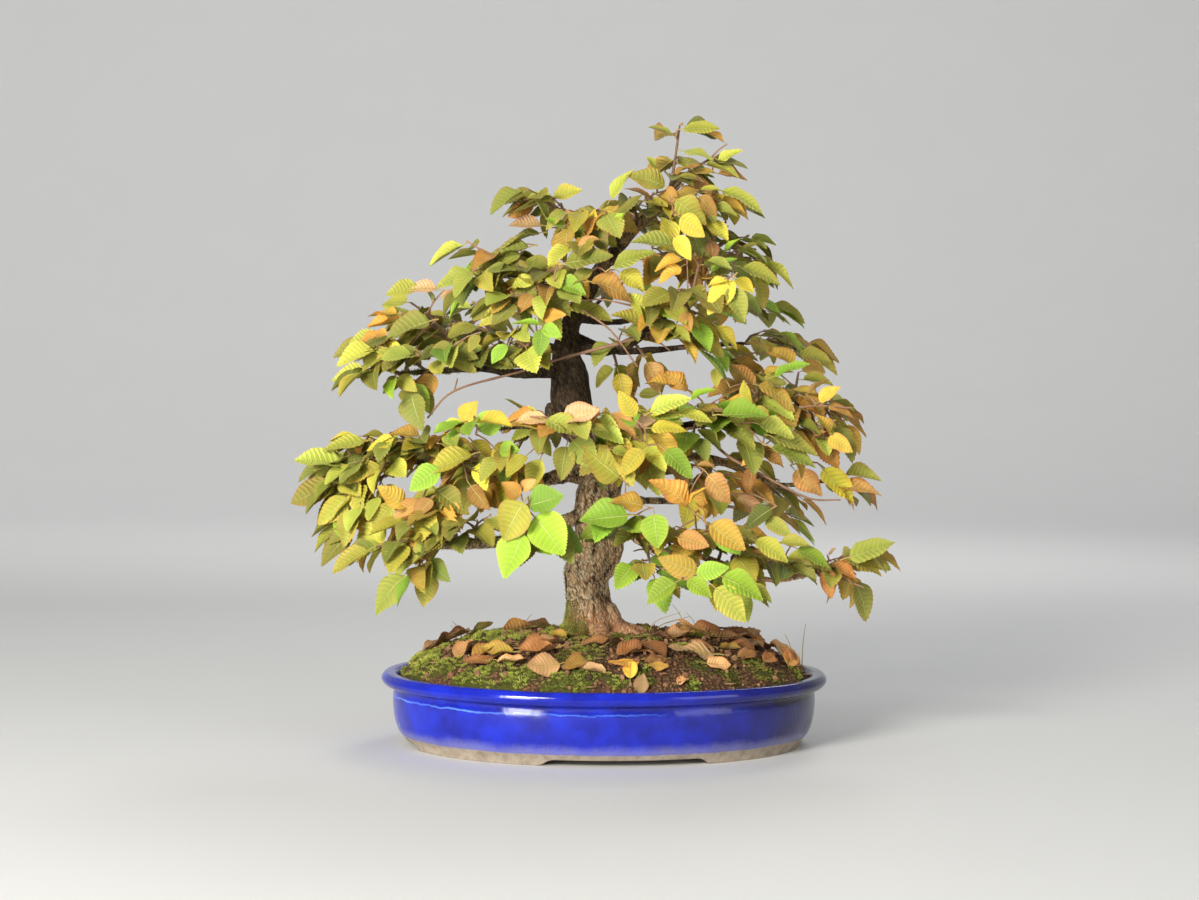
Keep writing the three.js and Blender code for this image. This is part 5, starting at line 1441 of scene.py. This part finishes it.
tints = {  # blade, rim, and how far the rim's colour spreads, as the leaf turns
    "olive": ((172, 172, 70), (188, 148, 64), 0.25), "moss": ((138, 146, 54), (164, 134, 58), 0.2),
    "fresh": ((194, 198, 82), (210, 194, 84), 0.15), "lime": ((166, 204, 62), (190, 210, 84), 0.1),
    "yellow": ((238, 222, 80), (232, 186, 72), 0.25), "gold": ((236, 194, 78), (214, 146, 64), 0.35),
    "amber": ((232, 174, 80), (202, 130, 60), 0.4), "tan": ((224, 172, 100), (196, 132, 74), 0.4),
    "rust": ((200, 138, 74), (160, 100, 56), 0.5), "pink": ((248, 198, 148), (228, 150, 98), 0.3),
    "dead": ((228, 180, 126), (196, 134, 80), 0.45), "brown": ((194, 132, 78), (146, 92, 54), 0.55),
}
mixes = {  # how often each tint comes in a spray of each colour
    "green": {"olive": 38, "moss": 22, "fresh": 24, "lime": 6, "yellow": 4, "gold": 3, "amber": 3},
    "bright": {"lime": 62, "fresh": 16, "yellow": 14, "olive": 8},
    "yellow": {"yellow": 26, "gold": 18, "fresh": 20, "olive": 24, "amber": 4, "lime": 8},
    "orange": {"amber": 16, "tan": 6, "gold": 26, "rust": 3, "pink": 1, "olive": 26, "yellow": 14,
               "fresh": 8},
}


def pickTint(random, mix):
    names, weights = list(mixes[mix]), np.array(list(mixes[mix].values()), float)
    return shaded(random, tints[names[random.choice(len(names), p=weights / weights.sum())]])


def shaded(random, row):  # one tint, a little lighter or darker and warmer or cooler
    blade, rim, dryness = row
    light = random.uniform(0.76, 1.1)
    warm = random.uniform(-8, 8)
    warmer = (warm, 0, -warm / 2)
    blade, rim = (colour(*np.clip(np.array(shade) * light + warmer, 8, 250)) for shade in (blade, rim))
    return blade, rim, float(np.clip(dryness + random.uniform(-0.15, 0.2), 0, 1))


def pickHabit(random, dryness):
    lively = 1 + 4 * max(dryness - 0.22, 0)
    return {
        "fold": random.uniform(0.15, 0.55), "droop": random.uniform(0.02, 0.2) * lively,
        "roll": random.uniform(-0.18, 0.45) * lively, "wave": random.uniform(0.03, 0.12) * lively,
        "phase": random.uniform(0, 6), "twist": random.uniform(-0.4, 0.4) * lively,
        "sway": random.uniform(-0.08, 0.08), "breadth": random.uniform(0.82, 1.08),
        "pleats": random.uniform(0.8, 1.4),
    }


def addBud(shape, point, way, size):
    line = [point, point + way * size * 0.35, point + way * size * 0.7, point + way * size]
    shape.add(*tube(line, np.array((0.14, 0.27, 0.22, 0.03)) * size, 5), 1, twigSpot=(1.0, 0.05, 0))


def addTwig(shape, line, radii, sides, age):
    line = smoothLine(line, 3)
    shares = np.linspace(0, 1, len(line))
    knots = 1 + 0.16 * np.sin(shares * 23 + line[0][0]) * np.sin(shares * 9 + line[0][2])
    points, faces = tube(line, (radii[0] + (radii[1] - radii[0]) * shares) * knots, sides)
    shape.add(points, faces, 1, twigSpot=(age, 0, 0))


apart = {"beside": 15, "off": 2.2, "alike": 0.85, "clear": 2.4}  # how near leaves' planes may come


def keptApart(leaf, placed):  # a leaf that would lie in another one's plane tilts off it
    base, heading, facing, length = leaf
    middle = base + heading * length * leafForm["middle"]
    if placed:
        middles, faces = (np.array(part) for part in zip(*placed))
        gaps = middle - middles
        off = np.sum(gaps * faces, axis=1)
        beside = np.linalg.norm(gaps - faces * off[:, None], axis=1)
        close = (beside < apart["beside"]) & (abs(off) < apart["off"])
        close = close & (abs(faces @ facing) > apart["alike"])
        if close.any():
            nearest = np.argmin(np.where(close, abs(off), np.inf))
            push = faces[nearest] * math.copysign(apart["clear"] - abs(off[nearest]), off[nearest])
            heading = unit(middle + push - base)
            facing = squareTo(heading, facing)
    placed.append((base + heading * length * leafForm["middle"], facing))
    return base, heading, facing, length


def leafShape():
    return Shape(leafSpot=3, leafTint=4, leafRim=4, twigSpot=3)


def makeSprays(freshLeaf, twigs):
    total, faces, placed = 0, 0, []
    for index, (name, _, _, mix, _) in enumerate(sprayRows):
        grown, mixesOf = growSpray(index)
        random = np.random.RandomState(spray["seed"] + index)
        shape = leafShape()
        for line in grown["stems"]:
            addTwig(shape, line, spray["stemRadius"], spray["stemSides"], 0.25)
        for line in grown["twigs"]:
            addTwig(shape, line, spray["twigRadius"], spray["twigSides"], 0.7)
        for leaf, leafMix in zip(grown["leaves"], mixesOf):
            tint, rim, dryness = pickTint(random, leafMix)
            leaf = keptApart(leaf, placed)
            addLeaf(shape, leaf, pickHabit(random, dryness), tint, rim, dryness, grids["plain"])
            if random.uniform() < 0.5:
                addBud(shape, leaf[0], unit(leaf[1] + upward * 0.9), random.uniform(2.4, 3.8))
        for tintName, leaf in grown["front"]:
            tint, rim, dryness = shaded(random, tints[tintName])
            habit = pickHabit(random, dryness)
            broad = name in spray["broad"]
            breadth = random.uniform(1.12, 1.3) if broad else random.uniform(0.84, 1.04)
            habit.update(fold=habit["fold"] * 0.7, breadth=breadth, pleats=0.6 if broad else 1.1)
            addLeaf(shape, keptApart(leaf, placed), habit, tint, rim, dryness, grids["fine"])
        total += len(grown["leaves"]) + len(grown["front"])
        faces += shape.triangles()
        slot = "leaf_lime" if mix == "bright" else "leaf_" + mix
        shape.piece("leaves_" + name, [freshLeaf, twigs], slot, ["spray_" + name])
    print("sprays:", len(sprayRows), "with", total, "leaves and", faces, "triangles")


# Fallen leaves, curled and dry, on the soil

fallenRows = [  # name, colour, and each leaf's x, y, heading in degrees, length and fold
    ("left_heap", "fallen", [(-112, 14, 20, 30, 0.3), (-101, 18, 150, 30, 0.5),
                             (-97, 8, 245, 27, 0.3)]),
    ("left_gold", "yellow", [(-84, -46, 28, 31, 0.25), (-76, -54, 150, 26, 0.4)]),
    ("left_back", "yellow", [(-58, 24, 200, 30, 0.25)]),
    ("left_tan", "fallen", [(-50, -57, 10, 30, 0.3), (-52, -66, 190, 30, 0.6)]),
    ("front_tan", "fallen", [(-50, -82, 185, 27, 0.2)]),
    ("front_yellow", "yellow", [(1, -86, 200, 26, 0.15), (3, -91, 80, 22, 0.3)]),
    ("middle_amber", "fallen", [(14, -66, 160, 31, 0.3), (20, -68, 300, 31, 0.3)]),
    ("right_large", "fallen", [(48, -68, 190, 40, 0.2)]),
    ("right_heap", "fallen", [(88, -8, 20, 42, 0.25), (92, 2, 150, 34, 0.4)]),
    ("right_end", "fallen", [(120, -24, 110, 27, 0.5)]),
]
strewnRows = [  # more leaves for the eye alone: x, y, heading, length, tint
    (-98, -35, 60, 25, "dead"), (-84, 10, 10, 22, "olive"), (-88, -58, 200, 26, "brown"),
    (-72, -67, 330, 24, "dead"), (-35, -29, 120, 17, "gold"), (-17, -57, 15, 24, "brown"),
    (-31, -84, 200, 22, "amber"), (-20, -90, 170, 22, "dead"), (8, -99, 80, 17, "dead"),
    (20, -88, 0, 16, "amber"), (4, -74, 20, 24, "brown"), (34, -14, 250, 24, "brown"),
    (50, -4, 350, 32, "dead"), (62, 24, 20, 26, "olive"), (74, -47, 350, 19, "gold"),
    (99, 30, 120, 30, "dead"), (104, 14, 200, 28, "brown"), (84, -57, 30, 20, "brown"),
    (101, -48, 60, 20, "brown"), (117, -4, 100, 26, "dead"), (36, -95, 30, 14, "dead"),
    (58, 8, 60, 28, "amber"), (70, 16, 330, 26, "brown"), (-108, 28, 80, 26, "dead"),
    (32, -32, 20, 26, "brown"), (60, -12, 160, 28, "tan"), (74, -16, 330, 27, "rust"),
    (86, -38, 200, 24, "brown"), (118, -32, 80, 24, "tan"), (56, -56, 140, 22, "brown"),
    (61, -77, 10, 20, "dead"), (22, -80, 200, 19, "rust"), (-3, -52, 40, 20, "brown"),
    (96, -22, 260, 28, "dead"), (44, -26, 300, 24, "dead"), (104, -10, 20, 24, "rust"),
    (-40, 58, 200, 27, "dead"), (12, 66, 40, 28, "brown"), (64, 58, 300, 26, "dead"),
    (-84, 52, 100, 26, "brown"),
]
fallen = {
    "seed": 61, "lift": 1.2, "pile": 1.3, "strewnLift": 0.8,  # millimetres above the soil
    "tints": {"yellow": ("amber", "gold"), "fallen": ("dead", "brown")},
}


def layLeaf(shape, random, x, y, degrees, length, fold, lift, tint):
    angle = math.radians(degrees)
    way = np.array((math.cos(angle), math.sin(angle), 0))
    middle = np.array((x, y, 0.0))
    start, end = middle - way * length / 2, middle + way * length / 2
    tops = soilTop(np.array([start[0], end[0], x]), np.array([start[1], end[1], y]))
    lift += max(0, tops[2] - (tops[0] + tops[1]) / 2)
    start[2], end[2] = tops[0] + lift, tops[1] + lift
    heading = unit(end - start)
    tilt = random.uniform(-0.45, 0.25)  # leaning on crumbs and moss, mostly toward the light
    side = np.array((-way[1], way[0], 0)) * length * 0.2
    lower, higher = soilTop(*(np.array([x, x]) + np.array([-1, 1]) * side[0],
                              np.array([y, y]) + np.array([-1, 1]) * side[1]))
    facing = np.cross(way, side * 2 + upward * (higher - lower))
    facing = unit(facing * np.sign(facing[2])) + np.array((-0.12, -0.6, 0)) * tilt
    facing = squareTo(heading, facing)
    start = start + upward * abs(tilt) * length * 0.09
    blade, rim, dryness = shaded(random, tints[tint])
    habit = pickHabit(random, 0.6)
    habit.update(fold=fold * 0.7, droop=random.uniform(-0.3, 0.14), roll=random.uniform(-0.6, 1.5),
                 twist=random.uniform(-0.8, 0.8), breadth=random.uniform(0.8, 1.1))
    addLeaf(shape, (start, heading, facing, length), habit, blade, rim, dryness, grids["fine"])


def makeFallen(dryLeaf, twigs):
    random = np.random.RandomState(fallen["seed"])
    for name, mix, leaves in fallenRows:
        shape = leafShape()
        for n, (x, y, degrees, length, fold) in enumerate(leaves):
            lift = fallen["lift"] + n * fallen["pile"]
            layLeaf(shape, random, x, y, degrees, length, fold, lift, fallen["tints"][mix][n % 2])
        shape.piece("fallen_leaves_" + name, [dryLeaf, twigs], "leaf_" + mix, ["fallen_" + name])
    shape = leafShape()
    for x, y, degrees, length, tint in strewnRows:
        fold = random.uniform(0.1, 0.6)
        layLeaf(shape, random, x, y, degrees, length, fold, fallen["strewnLift"], tint)
    shape.piece("strewn_leaves", [dryLeaf, twigs], "leaf_fallen")


bareTwigRows = [  # slender leafless twigs: thick end, thin end, and the points passed through
    (1.2, 0.6, [(10, -44, 270), (-15, -42, 263), (-36, -31, 257), (-63, -31, 248), (-106, -32, 235),
                (-123, -27, 217)]),
    (0.6, 0.4, [(-106, -32, 235), (-104, -31, 243)]),
    (0.8, 0.5, [(-24, -44, 288), (-7, -54, 275), (10, -58, 252)]),
    (1.0, 0.5, [(104, -36, 221), (125, -60, 228), (150, -70, 227)]),
    (1.2, 0.5, [(57, -28, 215), (70, -50, 196), (96, -62, 181), (123, -64, 168), (144, -65, 167)]),
    (1.0, 0.6, [(75, -53, 122), (84, -64, 146), (91, -63, 161)]),
    (1.2, 0.6, [(101, -59, 114), (130, -74, 120), (157, -79, 111)]),
    (1.4, 0.7, [(14, -16, 141), (20, -50, 138), (35, -68, 131), (62, -79, 121), (98, -82, 115)]),
]


def makeBareTwigs(finish):
    shape = Shape(twigSpot=3)
    for thick, thin, corners in bareTwigRows:
        line = smoothLine([np.array(corner, float) for corner in corners], 5)
        radii = np.linspace(thick, thin, len(line)) * (1 + 0.15 * np.sin(np.arange(len(line)) * 2.3))
        points, faces = tube(line, radii, spray["stemSides"])
        shape.add(points, faces, twigSpot=(0.55, 0, 0))
    shape.piece("bare_twigs", [finish], "bark")


wispRows = [  # dry grass and bare twigs on the soil: foot x and y, lean along x and y, height
    (-98, 30, -4, 3, 12), (-94, 34, -7, 2, 15), (-52, 26, 5, 2, 12), (30, 10, 22, -4, 16),
    (34, 8, 26, 6, 12), (36, 14, 16, 2, 9), (54, 4, -8, 4, 22), (124, -20, -5, 2, 22),
    (130, -22, 3, 3, 34), (128, -26, -2, -3, 14), (-20, 48, 8, 6, 14), (70, 44, -6, 7, 15),
]


def makeWisps(finish):
    shape = Shape(twigSpot=3)
    for x, y, dx, dy, height in wispRows:
        foot = np.array((x, y, soilTop(np.array([float(x)]), np.array([float(y)]))[0] - 1))
        knee = foot + (dx * 0.25, dy * 0.25, height * 0.6)
        line = smoothLine([foot, knee, foot + (dx, dy, height)], 5)
        points, faces = tube(line, np.linspace(0.42, 0.16, len(line)), spray["twigSides"])
        shape.add(points, faces, twigSpot=(0.8, 0.55, 0))
    shape.piece("dry_grass", [finish], "leaf_fallen")


# Build everything

def dressScreens(finish):  # the two mesh squares stay the solids' own
    for name in ("drain_screen_left", "drain_screen_right"):
        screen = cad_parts[name]
        screen.data.materials.clear()
        screen.data.materials.append(finish)


finishes = {
    "glaze": glazeFinish(), "bark": barkFinish(), "twig": twigFinish(),
    "leaf": leafFinish("autumn_leaf", False), "dryLeaf": leafFinish("dry_leaf", True),
    "soil": soilFinish(), "crumb": speckFinish("soil_crumb", 0.8, 0.4),
    "moss": speckFinish("moss_blade", 1.0, 0.2), "screen": screenFinish(),
}
dressScreens(finishes["screen"])
print("finishes made")

makePot(finishes["glaze"])
print("pot made")
makeSoil(finishes["soil"])
makeCrumbs(finishes["crumb"])
makeMoss(finishes["moss"])
print("soil and moss made")
woodPiece = makeWood(finishes["bark"])
makeTrunkMoss(finishes["moss"], woodPiece)
print("wood made")
makeSprays(finishes["leaf"], finishes["twig"])
makeFallen(finishes["dryLeaf"], finishes["twig"])
makeWisps(finishes["twig"])
makeBareTwigs(finishes["twig"])
print("leaves made")


# Stage, lights and camera

studio = {
    "floorRadius": 2.6, "floorReach": 5.2, "floorRise": 3.4, "floorShade": (0.74, 0.74, 0.72, 1),
    "floorTurns": 96, "sky": (0.9, 0.93, 1.0, 1), "skyStrength": 0.34,
}
onTree, onWall = (0.0, 0.0, 0.2), (0.0, 4.8, 1.8)
lamps = [  # name, place, size, power, tone and the place it is aimed at
    ("key", (-1.15, -1.6, 0.85), 0.6, 48, (1, 0.97, 0.91), onTree),
    ("fill", (1.3, -1.5, 0.5), 1.0, 6, (1, 1, 1), onTree),
    ("rim", (0.8, 1.4, 1.5), 0.8, 10, (1, 1, 1), onTree),
    ("low", (-1.15, -1.5, 0.13), 0.5, 13, (1, 1, 1), onTree),
    ("wall", (0.0, 1.6, 2.6), 3.0, 46, (1, 1, 1), onWall),
]


def makeStage():  # a floor that curves up into a wall all round
    turns = studio["floorTurns"]
    flatPart = [(share * studio["floorRadius"], 0.0) for share in np.linspace(0.25, 1, 4)]
    reach, rise = studio["floorReach"] - studio["floorRadius"], studio["floorRise"]
    curved = [(studio["floorRadius"] + reach * math.sin(angle), rise * (1 - math.cos(angle)))
              for angle in np.linspace(0.1, math.pi / 2, 12)]
    points = [(0, 0, 0)]
    for radius, height in flatPart + curved:
        for turn in range(turns):
            angle = turn / turns * 2 * math.pi
            points.append((radius * math.cos(angle), radius * math.sin(angle), height))
    faces = [(0, 1 + n, 1 + (n + 1) % turns) for n in range(turns)]
    for row in range(len(flatPart) + len(curved) - 1):
        low, high = 1 + row * turns, 1 + (row + 1) * turns
        faces += [(low + n, high + n, high + after, low + after)
                  for n, after in zip(range(turns), [*range(1, turns), 0])]
    mesh = bpy.data.meshes.new("floor")
    mesh.from_pydata(points, [], faces)
    mesh.polygons.foreach_set("use_smooth", [True] * len(faces))
    floor = bpy.data.objects.new("floor", mesh)
    bpy.context.scene.collection.objects.link(floor)
    paper = Finish("floor_paper", Roughness=0.75)
    soft = paper.noise(140, paper.spots(), 2)
    shade = tuple(value * 0.97 for value in studio["floorShade"][:3]) + (1,)
    mesh.materials.append(paper.use(Base_Color=paper.blend(studio["floorShade"], shade, soft)))


def makeLight(name, place, size, power, tone, aim):
    lamp = bpy.data.lights.new(name, "AREA")
    lamp.shape, lamp.size, lamp.energy, lamp.color = "SQUARE", size, power, tone
    light = bpy.data.objects.new(name, lamp)
    back = unit(np.array(place) - np.array(aim))
    across = unit(np.cross(upward, back))
    turn = Matrix(np.stack([across, np.cross(back, across), back], axis=1).tolist()).to_4x4()
    light.matrix_world = Matrix.Translation(place) @ turn
    bpy.context.scene.collection.objects.link(light)


def makeCamera():  # where the photograph was taken from
    pitch, roll = math.radians(view["pitch"]), math.radians(view["roll"])
    right, ahead = viewAxes()
    forward = ahead * math.cos(pitch) - upward * math.sin(pitch)
    above = ahead * math.sin(pitch) + upward * math.cos(pitch)
    rolledRight = right * math.cos(roll) + above * math.sin(roll)
    rolledUp = above * math.cos(roll) - right * math.sin(roll)
    data = bpy.data.cameras.new("camera")
    data.sensor_width, data.lens = view["sensor"], view["focus"] / view["frameWidth"] * view["sensor"]
    camera = bpy.data.objects.new("camera", data)
    turn = Matrix(np.stack([rolledRight, rolledUp, -forward], axis=1).tolist()).to_4x4()
    camera.matrix_world = Matrix.Translation(view["place"]) @ turn
    bpy.context.scene.collection.objects.link(camera)
    bpy.context.scene.camera = camera


def makeSky():
    world = bpy.data.worlds.new("studio")
    world.use_nodes = True
    background = world.node_tree.nodes["Background"]
    background.inputs["Color"].default_value = studio["sky"]
    background.inputs["Strength"].default_value = studio["skyStrength"]
    bpy.context.scene.world = world
    bpy.context.scene.view_settings.view_transform = "Standard"


def printTriangles():
    made = [thing.data for thing in bpy.context.scene.objects
            if thing.type == "MESH" and thing.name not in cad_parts]
    counts = [len(mesh.loops) - 2 * len(mesh.polygons) for mesh in made]
    print("triangles:", sum(counts), "in all,", max(counts), "in the largest piece")


makeStage()
for lamp in lamps:
    makeLight(*lamp)
makeSky()
makeCamera()
print("stage ready")
printTriangles()
